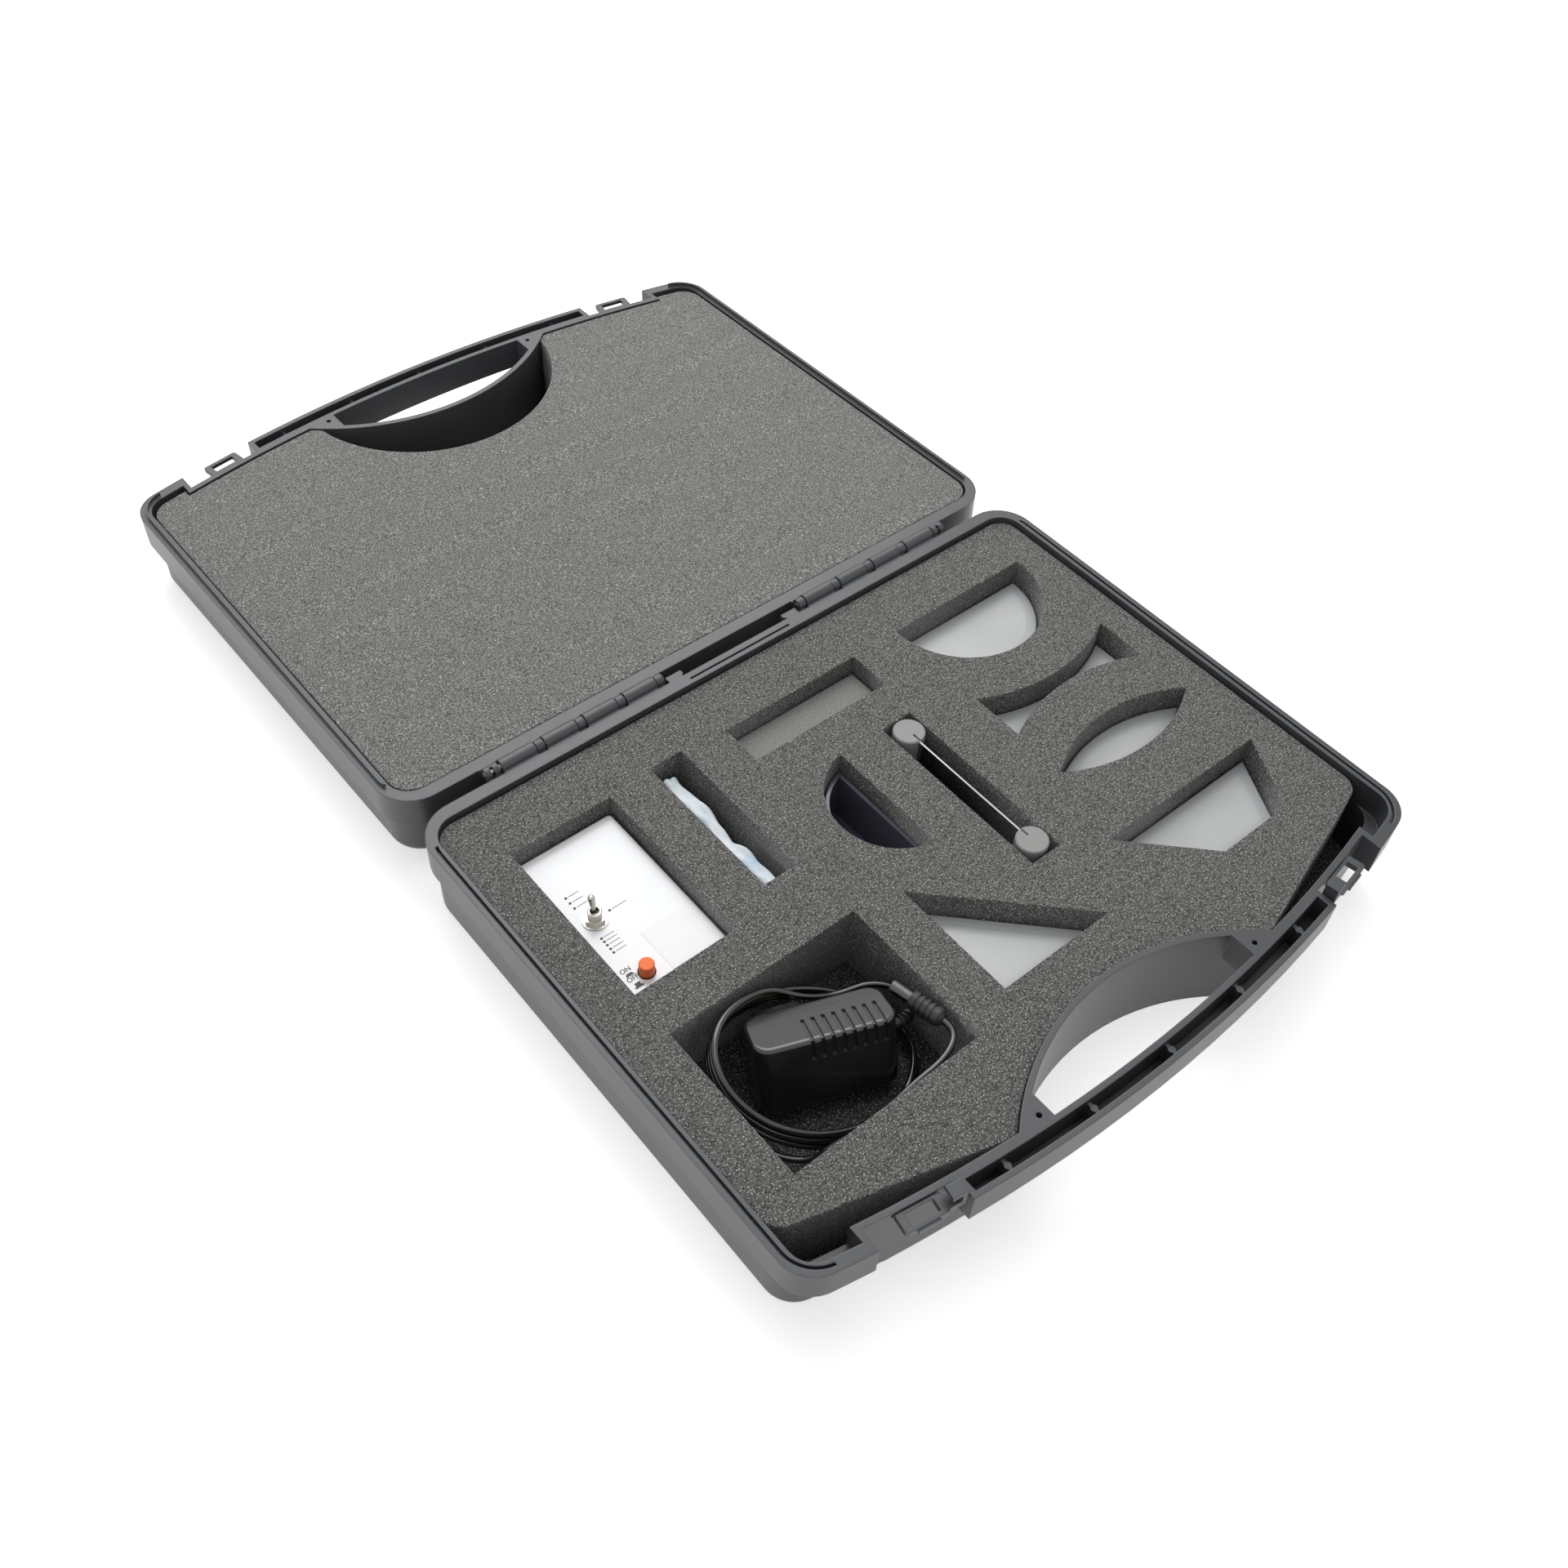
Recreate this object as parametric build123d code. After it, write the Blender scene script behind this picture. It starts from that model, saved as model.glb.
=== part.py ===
from build123d import *
import os
from math import acos, asin, atan2, cos, degrees, hypot, pi, radians, sin, sqrt

# Optics ray box kit: a plastic carrying case lying open, with a cut foam insert that
# holds a laser ray box, its mains adapter and a set of optics pieces.
# Millimetres, +Z up. The origin is in the middle of the base tray's underside.
# Places in the case are given from the hinge line: x across, y negative in front of it,
# and z from the plane of the base tray's rim.

# ---- case ----
case_width = 340.0
case_reach = 271.5          # hinge axis to the foremost point of the rim
base_height = 45.0          # underside to rim, base tray
lid_height = 37.7           # top to rim, lid tray
front_radius = 720.0        # the front rim bows forward on this radius
back_corner_radius = 18.0
front_corner_radius = 16.0
back_offset = 4.0           # hinge axis to the back wall's outer face
band_height = 16.0          # deep rim band round each tray
band_step = 2.6             # the wall below the band steps in by this much
bottom_radius = 5.0
floor_thickness = 3.0
rim_width = 5.3             # flat top of the side walls
ledge_depth = 6.2           # flat top of the hinge wall
front_wall_face = 9.5       # outer rim to the front face of the inner front wall
front_wall_thickness = 2.7
inner_corner_radius = 11.0
ledge_thickness = 2.5       # shelf where the cavity widens into the front corners
rim_gap = 0.3               # between the two rims when the lid is shut
groove_inset = 2.3
groove_width = 1.3
groove_depth = 2.5
groove_clearance = 0.15     # each side of the lid's tongue
tongue_height = 2.0
groove_back = 20.0          # the groove starts this far in front of the hinge axis
groove_end_x = 155.0        # and stops here along the front

# ---- handle ----
hand_hole_radius = 103.0    # the lip behind the hand hole
hand_hole_depth = 41.0      # rim's foremost point to the lip's hindmost point
hand_wall = 2.7
handle_width = 10.5         # rim to the inner face of the handle
handle_outer_wall = 2.5
handle_inner_wall = 2.5
channel_half = 99.5
channel_floor = 2.0
rib_places = (0.0, 41.4, 82.5)
rib_thickness = 1.6
rib_drop = 3.0
rib_post_radius = 1.5
boss_x = 61.0
boss_inset = 16.2           # rim's foremost point to the boss
boss_edge_x = 56.5
boss_hole_radius = 1.2

# ---- latch bays and sliders ----
bay_inner_x = 102.0
bay_outer_x = 140.5
bay_wall = 2.5
latch_x = 120.0             # middle of a latch
latch_width = 18.5
latch_arm = 3.2
latch_bar_outer = 1.0       # rim to the latch bar's outer face
latch_bar = 1.9
latch_web = 1.4             # behind the latch's hole
latch_corner = 1.4          # rounding of the loop's outer corners
latch_gap = 0.3             # slider to the wall behind it
slider_top = -1.0
slider_thickness = 3.0
catch_bottom = 0.8          # lid's fixed catch loop, above the base's rim plane
catch_thickness = 2.0
hook_reach = 4.5            # length of the hook's nose, and the latch's travel
hook_thickness = 2.0
hook_clearance = 0.5
hook_post = 2.0
keel_share = 0.6            # length of the slider's keel, of the latch's width
keel_width = 1.2            # the keel's neck, which runs in a groove in the wall
neck_depth = 0.7
head_width = 2.2            # the keel's wider head behind the neck
head_depth = 0.8
keel_clearance = 0.2
ridge_height = 0.8          # grip ridge on the latch bar's outer face
ridge_drop = 0.8            # slider's top to the ridge's top

# ---- hinge ----
barrel_radius = 3.3         # base's knuckles
ring_radius = 2.9           # lid's knuckles
pin_radius = 1.25
pin_clearance = 0.05
pin_overhang = 0.5          # pin's length beyond the knuckles
knuckle_pitch = 21.0
first_ring_x = 41.0
ring_width = 3.7
ring_count = 4
ring_gap = 0.6              # between neighbouring knuckles
clip_start = 124.5
clip_end = 131.0
clip_slot = 1.6
ramp_inner_x = 29.0
ramp_outer_x = 37.4
ramp_chamfer = 2.5
rim_slot_half = 28.5
rim_slot_inset = 3.5
rim_slot_width = 1.0
rim_slot_depth = 1.5

# ---- foam ----
foam_drop = 3.0             # rim to the insert's top face
pad_thickness = 3.0
foam_side_clearance = 0.8
foam_corner_inset = 42.5    # rim's foremost point to the insert's front corners
foam_front_x = 76.0
foam_front_inset = 17.1     # rim's foremost point to the insert's front side
foam_corner_radius = 9.0
lid_foam_drop = 4.0
lid_foam_front_drop = 12.5  # rim to the bottom of the layer that fills the wide front corners
lid_foam_front_gap = 2.6    # that layer to the front wall there, over the usual clearance
lid_foam_arc_radius = 68.0
lid_foam_arc_inset = 8.5    # rim's foremost point to the finger gap's centre
foam_fit = 0.3              # between a foam edge and the hand-hole wall

# ---- optics pieces, all standing on the foam pad ----
# right-hand column: places are measured from the case's right side and from the hinge axis
block_height = 24.0
block_chamfer = 0.5
slab_height = 27.0
semicircle_radius = 38.5
semicircle_place = (63.0, 39.6)
concave_length = 78.5
concave_end = 23.5
concave_waist = 4.0
concave_place = (62.3, 105.3)
convex_length = 80.0
convex_thickness = 21.5
convex_place = (62.7, 144.8)
trapezoid_long = 87.0
trapezoid_depth = 31.6
trapezoid_left_angle = 45.0
trapezoid_right_angle = 62.0
trapezoid_place = (24.3, 184.3)    # to its corner at the back right
# middle column: places from the case's middle plane and the hinge axis
triangle_leg = 54.0
triangle_place = (-29.4, 23.5)     # its square corner, and from there to the hand hole's lip
slab_length = 71.5
slab_width = 18.8
slab_centre = (3.7, -49.6)
dish_radius = 28.6
dish_cut = 5.6              # circle centre to the dish's straight side
dish_centre = (1.4, -109.5)
dish_height = 27.0
dish_wall = 1.8
dish_floor = 2.2
piece_clearance = 1.2       # foam pocket to piece, all round
mirror_post_radius = 7.2
mirror_post_height = 37.0
mirror_post_spacing = 75.4
mirror_centre = (29.4, -126.0)
mirror_thickness = 0.8
mirror_height = 33.0
mirror_drop = 1.0           # posts' tops to the strip's top edge
mirror_slot_depth = 4.5
mirror_slot_clearance = 0.08
mirror_pocket_width = 16.4
mirror_pocket_length = 92.4
# left-hand column: places from the case's left side and the hinge axis
cloth_pocket_width = 16.4
cloth_pocket_length = 76.6
cloth_pocket_place = (105.6, 75.0)
cloth_width = 10.6
cloth_length = 70.0
cloth_height = 29.0
cloth_gap = 1.6             # cloth to the pocket's left side
cloth_corner = 4.2
cloth_ends_drop = 8.0       # height lost at the near end, at the dips and at the first crest
cloth_dip_drop = 5.0
cloth_crest_drop = 1.5

# ---- laser ray box ----
box_width = 46.0
box_length = 81.0
box_height = 28.0
box_wall = 2.0
box_corner_radius = 2.0
box_place = (50.4, 81.1)    # case's left side and hinge axis to the box's middle
box_pocket_clearance = 1.5
plate_thickness = 3.0
plate_clearance = 0.2
corner_post_radius = 2.5
corner_post_inset = 4.8
screw_radius = 1.25
screw_length = 9.0
screw_head_radius = 2.2
screw_head_height = 1.2
screw_clearance = 0.05
screw_tip_clearance = 1.0
screw_recess = 0.1          # plate's underside to the screw heads
head_clearance = 0.2
cross_length = 2.4          # cross recess in each screw head
cross_width = 0.6
cross_depth = 1.0
toggle_place = (9.6, -0.1)  # from the box's left side, and from its middle
toggle_body_size = (8.0, 13.0, 9.5)
bushing_radius = 3.0
bushing_height = 6.2
bushing_clearance = 0.1
bushing_bore = 2.0
washer_radius = 5.5
washer_thickness = 0.6
nut_across_flats = 8.0
nut_thickness = 2.0
nut_clearance = 0.05
lever_length = 6.6          # above the bushing
lever_radius_top = 1.45
lever_radius_bottom = 0.95
lever_ball_radius = 1.5
lever_pivot_depth = 2.2     # below the bushing's top
lever_clearance = 0.1       # under the lever's ball
lever_angle = 12.0
lever_pin_radius = 0.5
lever_pin_length = 3.8      # cross pin through the ball, on the toggle's axis
bushing_chamfer = 0.4
button_place = (11.2, 8.2)  # from the box's left side and its front face
cap_radius = 3.2
cap_height = 5.6
cap_travel = 2.0
cap_hole_clearance = 0.5
cap_rounding = 0.5
push_body_size = (7.2, 7.2, 8.5)
push_drop = 0.2             # box roof to the switch body's top, and cap to the pressed switch
push_stem = 1.5
push_stem_clearance = 0.08
stem_engaged = 1.3          # stem in the switch at rest
emitter_count = 5
emitter_pitch = 13.0
emitter_radius = 3.0
emitter_length = 13.0
emitter_clearance = 0.05
emitter_inset = 0.8         # holder's face to the barrels
emitter_nose = 0.6
emitter_chamfer = 0.4
holder_width = 11.0
holder_height = 9.0
holder_clearance = 0.5      # to the corner posts
beam_height = 7.6           # beam axis above the plate
aperture_radius = 1.6
window_thickness = 1.0
window_height = 6.0
window_length = 60.0
window_clearance = 0.1
holder_gap = 0.2            # holder to the box wall
board_width = 26.0
board_thickness = 1.6
board_post_height = 4.0
board_post_radius = 2.0
board_post_inset = (3.0, 4.0)
board_gap = 1.0             # box wall, or jack, to board
chip_place = (1.0, 13.0)
chip_size = (6.0, 8.0, 1.6)
coil_place = (2.0, -12.0)
coil_radius = 2.5
coil_height = 3.0
jack_side = 13.2            # box's left side to the jack's axis
jack_size = (9.0, 12.0, 9.0)
jack_bore_radius = 2.9
jack_nose_radius = 4.0
jack_bore_depth = 9.0
jack_pin_radius = 1.0
jack_drop = 15.0            # box top to jack axis
jack_clearance = 0.1

# ---- mains adapter and its cord ----
adapter_pocket_spare = (33.8, 48.0)    # what the pocket is longer and wider than the adapter
adapter_pocket_place = (26.0, 217.0)    # case's left side to its left edge, hinge axis to its front edge
adapter_length = 57.2
adapter_thickness = 24.0
adapter_depth = 31.0
adapter_turn = -21.4        # in plan
adapter_lean = 22.0         # tipped back against the pocket
adapter_offset = (1.8, 2.9)    # from the pocket's middle
adapter_corner_radius = 7.0
adapter_edge_radius = 1.8
adapter_wall = 2.2
adapter_split = 5.0         # parting plane to the adapter's back face
vent_count = 8
vent_pitch = 4.15
vent_first = -6.5
vent_width = 1.4
vent_depth = 0.9
vent_back = 1.5             # the grooves start this far behind the adapter's middle
vent_low = 6.5              # and end this far above it on the front
plug_face_width = 20.0
plug_face_height = 22.0
plug_face_thickness = 2.6
plug_face_shift = -12.7
plug_face_drop = 1.0        # below the adapter's top
plug_face_corner = 2.0
blade_thickness = 1.5
blade_width = 6.3
blade_length = 15.0
blade_spacing = 12.7
blade_height = -3.0         # above the adapter's middle
blade_chamfer = 0.5
core_size = (34.0, 14.0, 20.0)
core_board_margin = 6.0     # board to the adapter's ends
core_board_height = 24.0
core_board_thickness = 1.6
core_gap = 0.1              # board to the front shell
relief_neck = 2.4
relief_bend = 8.6
relief_turn = 140.0
relief_tip_radius = 2.0
relief_rib_radius = 3.0
relief_taper = 0.7          # radius lost from the first rib to the last
relief_ribs = 9
relief_rib_width = 1.1
relief_rib_start = 0.1      # share of the bend before the first rib
relief_rib_span = 0.8       # share of the bend that carries ribs
relief_back = 0.5           # behind the adapter's middle
relief_rise = 3.0           # above the adapter's middle
# The cord leaves the relief behind the adapter, goes round it in oval loops that work
# down to the pad, and climbs along the pocket's front to its plug. Places are from the
# pocket's middle, and heights from the pad.
cord_diameter = 2.8
loop_offset = (-2.4, 1.4)
loop_half_width = 39.8
loop_half_depth = 29.8
loop_axis = -17.0           # turn of the ovals' long axis
loop_growth = 0.75          # each loop is this much wider all round than the last
loop_fall = 3.5             # height lost in one turn
loop_middle = 22.55         # height of the first loop's middle
loop_tilt = 12.8            # the loops stand this much higher at loop_high
loop_high = 140.0           # direction in which they stand highest
loop_fold = 2.5             # they also sag on both sides of it
loop_quarters = 13
cord_lead = ((14.5, 21.4, 21.0), (-0.88, 0.36, 0.32))
cord_rest = [((-33.9, -23.0, 12.4), (0.66, -0.75, 0.0)),
             ((-15.5, -32.8, 23.0), (1.0, -0.22, 0.26)),
             ((24.5, -34.1, 31.8), (1.0, 0.0, 0.08))]
plug_rear = ((40.9, -21.5, 32.4), (-0.2, 0.98, 0.0))
plug_grip_radius = 4.0
plug_grip_length = 15.0
plug_barrel_radius = 2.75
plug_barrel_length = 9.0
plug_bore_radius = 1.1
plug_front_rounding = 1.0
plug_rear_chamfer = 1.8
plug_ring_count = 4
plug_ring_first = 4.0
plug_ring_pitch = 2.4
plug_ring_width = 1.0
plug_ring_depth = 0.5

# ---- label on the laser box, from its right face and its front face ----
label_thickness = 0.15
label_place = (1.2, 2.6)
label_size = (24.7, 22.0)

# ---- worked out from the values above ----
upward = (Align.CENTER, Align.CENTER, Align.MIN)
past = 1.0                  # cuts run this far past a face, and joined pieces into each other
case_right = case_width / 2
case_left = -case_right
front_centre_y = front_radius - case_reach
hand_hole_apex = case_reach - hand_hole_depth
hand_centre_y = -(hand_hole_apex + hand_hole_radius)
pad_bottom = floor_thickness - base_height
pad_top = pad_bottom + pad_thickness
slider_bottom = slider_top - slider_thickness
foam_top = -foam_drop
inner_front = front_wall_face + front_wall_thickness
base_middle = (back_offset + case_reach) / 2
case_place = Location((0, base_middle, base_height))
semicircle_centre = (case_right - semicircle_place[0], -semicircle_place[1])
concave_centre = (case_right - concave_place[0], -concave_place[1])
convex_centre = (case_right - convex_place[0], -convex_place[1])
trapezoid_corner = (case_right - trapezoid_place[0], -trapezoid_place[1])
triangle_corner = (triangle_place[0], triangle_place[1] - hand_hole_apex)
box_centre = (case_left + box_place[0], -box_place[1])
cloth_pocket_centre = (case_left + cloth_pocket_place[0], -cloth_pocket_place[1])
pocket_left = case_left + adapter_pocket_place[0]
pocket_right = pocket_left + adapter_length + adapter_pocket_spare[0]
pocket_front = -adapter_pocket_place[1]
pocket_back = pocket_front + adapter_thickness + adapter_pocket_spare[1]
pocket_middle = ((pocket_left + pocket_right) / 2, (pocket_front + pocket_back) / 2)
# the open lid rests on the rounded bottom edge where the hand hole's wall meets the front wall
touch_y = (front_radius - front_wall_face)**2 - hand_hole_radius**2 - front_centre_y**2 + hand_centre_y**2
touch_y = touch_y / (2 * (hand_centre_y - front_centre_y))
touch_reach = -touch_y - bottom_radius
touch_height = lid_height + rim_gap - bottom_radius
touch_line = hypot(touch_reach, touch_height)
lid_tilt = degrees(atan2(touch_reach, touch_height) - acos((base_height - bottom_radius) / touch_line))
lid_swing = 180 + lid_tilt


def front_disc(inset):
    return Pos(0, front_centre_y) * Circle(front_radius - inset)


def tray_plan(side_inset, back_inset, front_inset, back_corner, front_corner):
    """Plan of a tray: straight back and sides, bowed front, four rounded corners."""
    back_y = -(back_offset + back_inset)
    half = case_right - side_inset
    plan = Pos(0, back_y - case_reach / 2) * Rectangle(2 * half, case_reach)
    plan = plan & front_disc(front_inset)
    corners = plan.vertices().sort_by(Axis.Y)
    plan = fillet(corners[:2], front_corner)
    return fillet(plan.vertices().sort_by(Axis.Y)[-2:], back_corner)


def slab(low_x, high_x, low_y, high_y, low_z, high_z):
    size = Box(high_x - low_x, high_y - low_y, high_z - low_z)
    return Pos((low_x + high_x) / 2, (low_y + high_y) / 2, (low_z + high_z) / 2) * size


def strip(low_x, high_x):
    """Both mirror-image strips between two distances from the middle plane."""
    width = high_x - low_x
    middle = (low_x + high_x) / 2
    tall = 4 * case_reach
    return Pos(middle, 0) * Rectangle(width, tall) + Pos(-middle, 0) * Rectangle(width, tall)


def prism(plan, low_z, high_z):
    return Pos(0, 0, low_z) * extrude(plan, high_z - low_z)


def tray(height, tongue):
    """One tray, rim up at z = 0, with its handle half, latch bays and rim joint."""
    outer = tray_plan(0, 0, 0, back_corner_radius, front_corner_radius)
    lower = tray_plan(band_step, band_step, front_wall_face,
                      back_corner_radius - band_step, inner_corner_radius + front_wall_thickness)
    well = tray_plan(rim_width, ledge_depth, inner_front, inner_corner_radius, inner_corner_radius)
    wide = tray_plan(rim_width, ledge_depth, rim_width, inner_corner_radius, inner_corner_radius)
    hand_disc = Pos(0, hand_centre_y) * Circle(hand_hole_radius)
    hand_lip = Pos(0, hand_centre_y) * Circle(hand_hole_radius + hand_wall)
    front_zone = strip(0, bay_outer_x + bay_wall) - front_disc(inner_front)
    well = well - hand_lip
    wide = wide - front_zone - hand_lip

    body = prism(outer, -band_height, 0)
    foot = prism(lower, -height, -band_height)
    foot = fillet(foot.edges().group_by(Axis.Z)[0], bottom_radius)
    body = body + foot
    body -= prism(well, floor_thickness - height, 0)
    body -= prism(wide, ledge_thickness - band_height, 0)

    # hand hole: open in front of the wall below the band, a lens shape through the band
    lens = (hand_disc & front_disc(handle_width)) & strip(0, boss_edge_x)
    body -= prism(hand_disc, -height, -band_height)
    body -= prism(lens, -band_height, 0)
    for side in (-1, 1):
        hole = Cylinder(boss_hole_radius, 3 * band_height)
        body -= Pos(side * boss_x, boss_inset - case_reach) * hole

    # hollow handle with cross ribs and posts
    channel = front_disc(handle_outer_wall) - front_disc(handle_width - handle_inner_wall)
    channel = channel & strip(0, channel_half) & (Pos(0, -case_reach) * Rectangle(case_width, case_reach))
    body -= prism(channel, channel_floor - band_height, 0)
    rib_middle = (handle_outer_wall + handle_width - handle_inner_wall) / 2
    for place in rib_places:
        for side in ((-1, 1) if place else (1,)):
            rib = channel & (Pos(side * place, 0) * Rectangle(rib_thickness, 4 * case_reach))
            post_y = front_centre_y - sqrt((front_radius - rib_middle)**2 - place**2)
            rib += Pos(side * place, post_y) * Circle(rib_post_radius)
            body += prism(rib, channel_floor - band_height, -rib_drop)

    # latch bays, open to the front and below
    bays = strip(bay_inner_x, bay_outer_x) - front_disc(front_wall_face)
    bays = bays & (Pos(0, -case_reach) * Rectangle(case_width, case_reach))
    body -= prism(bays, -band_height, 0)

    # rim joint: a groove in the base, a tongue on the lid
    spare = groove_clearance if tongue else 0
    ring = tray_plan(groove_inset + spare, groove_inset + spare, groove_inset + spare,
                     back_corner_radius, front_corner_radius)
    core = groove_inset + groove_width - spare
    ring -= tray_plan(core, core, core, back_corner_radius - groove_width,
                      front_corner_radius - groove_width)
    reach = case_reach - groove_back
    ring = ring & (Pos(0, -groove_back - reach / 2) * Rectangle(case_width, reach))
    ring -= Pos(0, -case_reach) * Rectangle(2 * groove_end_x, case_reach)
    if tongue:
        return body + prism(ring, 0, tongue_height)
    return body - prism(ring, -groove_depth, 0)


def knuckle(low_x, high_x, up):
    """A hinge barrel with its web back to the wall; up is +1 for the lid, -1 for the base."""
    width = high_x - low_x
    turn = Rotation(0, 90, 0)
    radius = ring_radius if up > 0 else barrel_radius
    barrel = Pos((low_x + high_x) / 2, 0, 0) * turn * Cylinder(radius, width)
    web_low = rim_gap if up > 0 else -radius
    web_high = radius if up > 0 else 0
    web = slab(low_x, high_x, -back_offset - past, 0, web_low, web_high)
    bore = Pos((low_x + high_x) / 2, 0, 0) * turn * Cylinder(pin_radius + pin_clearance, 2 * width)
    return barrel + web - bore


def mirrored_pair(solid):
    return solid, mirror(solid, Plane.YZ)


ring_places = [first_ring_x + index * knuckle_pitch for index in range(ring_count)]


def base_shell():
    shell = tray(base_height, False)
    half_ring = ring_width / 2 + ring_gap
    for index, place in enumerate(ring_places):
        high = ring_places[index + 1] - half_ring if index + 1 < ring_count else clip_start - 2 * ring_gap
        for barrel in mirrored_pair(knuckle(place + half_ring, high, -1)):
            shell += barrel
    ramp_size = slab(ramp_inner_x, ramp_outer_x, -back_offset - past, -ring_gap, -barrel_radius, 0)
    ramp = chamfer(ramp_size.edges().filter_by(Axis.Z).sort_by(Axis.X)[:1], ramp_chamfer)
    for piece in mirrored_pair(ramp):
        shell += piece
    slot_y = -(back_offset + rim_slot_inset)
    shell -= slab(-rim_slot_half, rim_slot_half, slot_y - rim_slot_width / 2,
                  slot_y + rim_slot_width / 2, -rim_slot_depth, past)
    for groove in mirrored_pair(latch_groove()):
        shell -= groove
    return shell


def lid_shell():
    shell = Pos(0, 0, rim_gap) * mirror(tray(lid_height, True), Plane.XY)
    for place in ring_places:
        for ring in mirrored_pair(knuckle(place - ring_width / 2, place + ring_width / 2, 1)):
            shell += ring
    clip = knuckle(clip_start, clip_end, 1)
    middle = (clip_start + clip_end) / 2
    clip -= slab(middle - clip_slot / 2, middle + clip_slot / 2, 0, ring_radius, -ring_radius, ring_radius)
    for piece in mirrored_pair(clip):
        shell += piece
    for piece in mirrored_pair(catch_loop()):
        shell += piece
    return shell


# ---- latch parts, worked out in a frame on the rim: u along it, v in towards the case ----
latch_slope = degrees(asin(latch_x / front_radius))
latch_y = front_centre_y - sqrt(front_radius**2 - latch_x**2)
latch_frame = Location((latch_x, latch_y, 0), (0, 0, latch_slope))


def latch_plate(back_v):
    """The loop's plan, out to back_v: two arms, an outer bar and a web, round one hole."""
    depth = back_v - latch_bar_outer
    plan = Pos(0, latch_bar_outer + depth / 2) * Rectangle(latch_width, depth)
    plan = fillet(plan.vertices().sort_by(Axis.Y)[:2], latch_corner)
    hole_low = latch_bar_outer + latch_bar
    hole = Rectangle(latch_width - 2 * latch_arm, web_front - hole_low)
    return plan - Pos(0, (hole_low + web_front) / 2) * hole


def catch_loop():
    plan = latch_plate(front_wall_face + front_wall_thickness / 2)
    return latch_frame * prism(plan, catch_bottom, catch_top)


web_front = front_wall_face - latch_gap - latch_web
catch_top = catch_bottom + catch_thickness
keel_half = latch_width * keel_share / 2
keel_middle = slider_top - slider_thickness / 2
head_front = front_wall_face + neck_depth


def latch_groove():
    """T-shaped groove in the base's front wall, which the slider's keel runs in."""
    spare = keel_clearance
    low_u = -keel_half - spare
    high_u = keel_half + hook_reach + spare
    neck = keel_width / 2 + spare
    head = head_width / 2 + spare
    groove = slab(low_u, high_u, front_wall_face - past, head_front, keel_middle - neck, keel_middle + neck)
    groove += slab(low_u, high_u, head_front - spare, head_front + head_depth + spare,
                   keel_middle - head, keel_middle + head)
    return latch_frame * groove


def latch_slider():
    plate = prism(latch_plate(front_wall_face - latch_gap), slider_bottom, slider_top)
    keel = slab(-keel_half, keel_half, web_front, head_front + head_depth,
                keel_middle - keel_width / 2, keel_middle + keel_width / 2)
    keel += slab(-keel_half, keel_half, head_front, head_front + head_depth,
                 keel_middle - head_width / 2, keel_middle + head_width / 2)
    nose_low = catch_top + hook_clearance
    low_v = latch_bar_outer + latch_bar / 2
    edge = -latch_width / 2
    post_high = edge - hook_reach - hook_clearance
    post = slab(post_high - hook_post, post_high, low_v, web_front, slider_bottom, nose_low + hook_thickness)
    bridge = slab(post_high - hook_post, edge + latch_arm / 2, low_v, web_front, slider_bottom, slider_top)
    nose = slab(post_high - hook_post, post_high + hook_reach, low_v, web_front,
                nose_low, nose_low + hook_thickness)
    ridge = slab(edge / 2, -edge / 2, latch_bar_outer - ridge_height, latch_bar_outer + latch_bar / 2,
                 slider_bottom, slider_top - ridge_drop)
    return latch_frame * (plate + keel + post + bridge + nose + ridge)


def hinge_pin():
    low_x = first_ring_x - ring_width / 2
    pin = Rotation(0, 90, 0) * Cylinder(pin_radius, clip_end - low_x + pin_overhang)
    return Pos((clip_end + low_x) / 2, 0, 0) * pin


# ---- outlines of the optics pieces; grow widens one for its foam pocket ----
def semicircle_plan(grow=0.0):
    radius = semicircle_radius + grow
    disc = Circle(radius)
    half = Pos(0, grow - 2 * radius) * Rectangle(4 * radius, 4 * radius)
    return Pos(*semicircle_centre) * (disc & half)


def concave_plan(grow=0.0):
    """Two short straight ends joined by hollow arcs; the waist stays the foam's own width."""
    half = concave_length / 2 + grow
    end = concave_end / 2 + grow
    waist = concave_waist / 2 + grow
    sag = end - waist
    radius = (half**2 + sag**2) / (2 * sag)
    plan = Rectangle(2 * half, 2 * end)
    for side in (-1, 1):
        plan -= Pos(0, side * (waist + radius)) * Circle(radius)
    return Pos(*concave_centre) * plan


def convex_plan(grow=0.0):
    half = convex_length / 2 + grow
    sag = convex_thickness / 2 + grow
    radius = (half**2 + sag**2) / (2 * sag)
    upper = Pos(0, radius - sag) * Circle(radius)
    lower = Pos(0, sag - radius) * Circle(radius)
    return Pos(*convex_centre) * (upper & lower)


def trapezoid_plan(grow=0.0):
    right_x, back_y = trapezoid_corner
    left_x = right_x - trapezoid_long
    front_y = back_y - trapezoid_depth
    points = [(right_x, back_y), (left_x, back_y),
              (left_x + trapezoid_depth / sin(radians(trapezoid_left_angle))
               * cos(radians(trapezoid_left_angle)), front_y),
              (right_x - trapezoid_depth / sin(radians(trapezoid_right_angle))
               * cos(radians(trapezoid_right_angle)), front_y)]
    plan = make_face(Polyline(*points, close=True))
    return offset(plan, grow, kind=Kind.INTERSECTION) if grow else plan


def triangle_plan(grow=0.0):
    x, y = triangle_corner
    plan = make_face(Polyline((x, y), (x + triangle_leg, y), (x, y + triangle_leg), close=True))
    return offset(plan, grow, kind=Kind.INTERSECTION) if grow else plan


def slab_plan(grow=0.0):
    return Pos(*slab_centre) * Rectangle(slab_length + 2 * grow, slab_width + 2 * grow)


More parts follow.
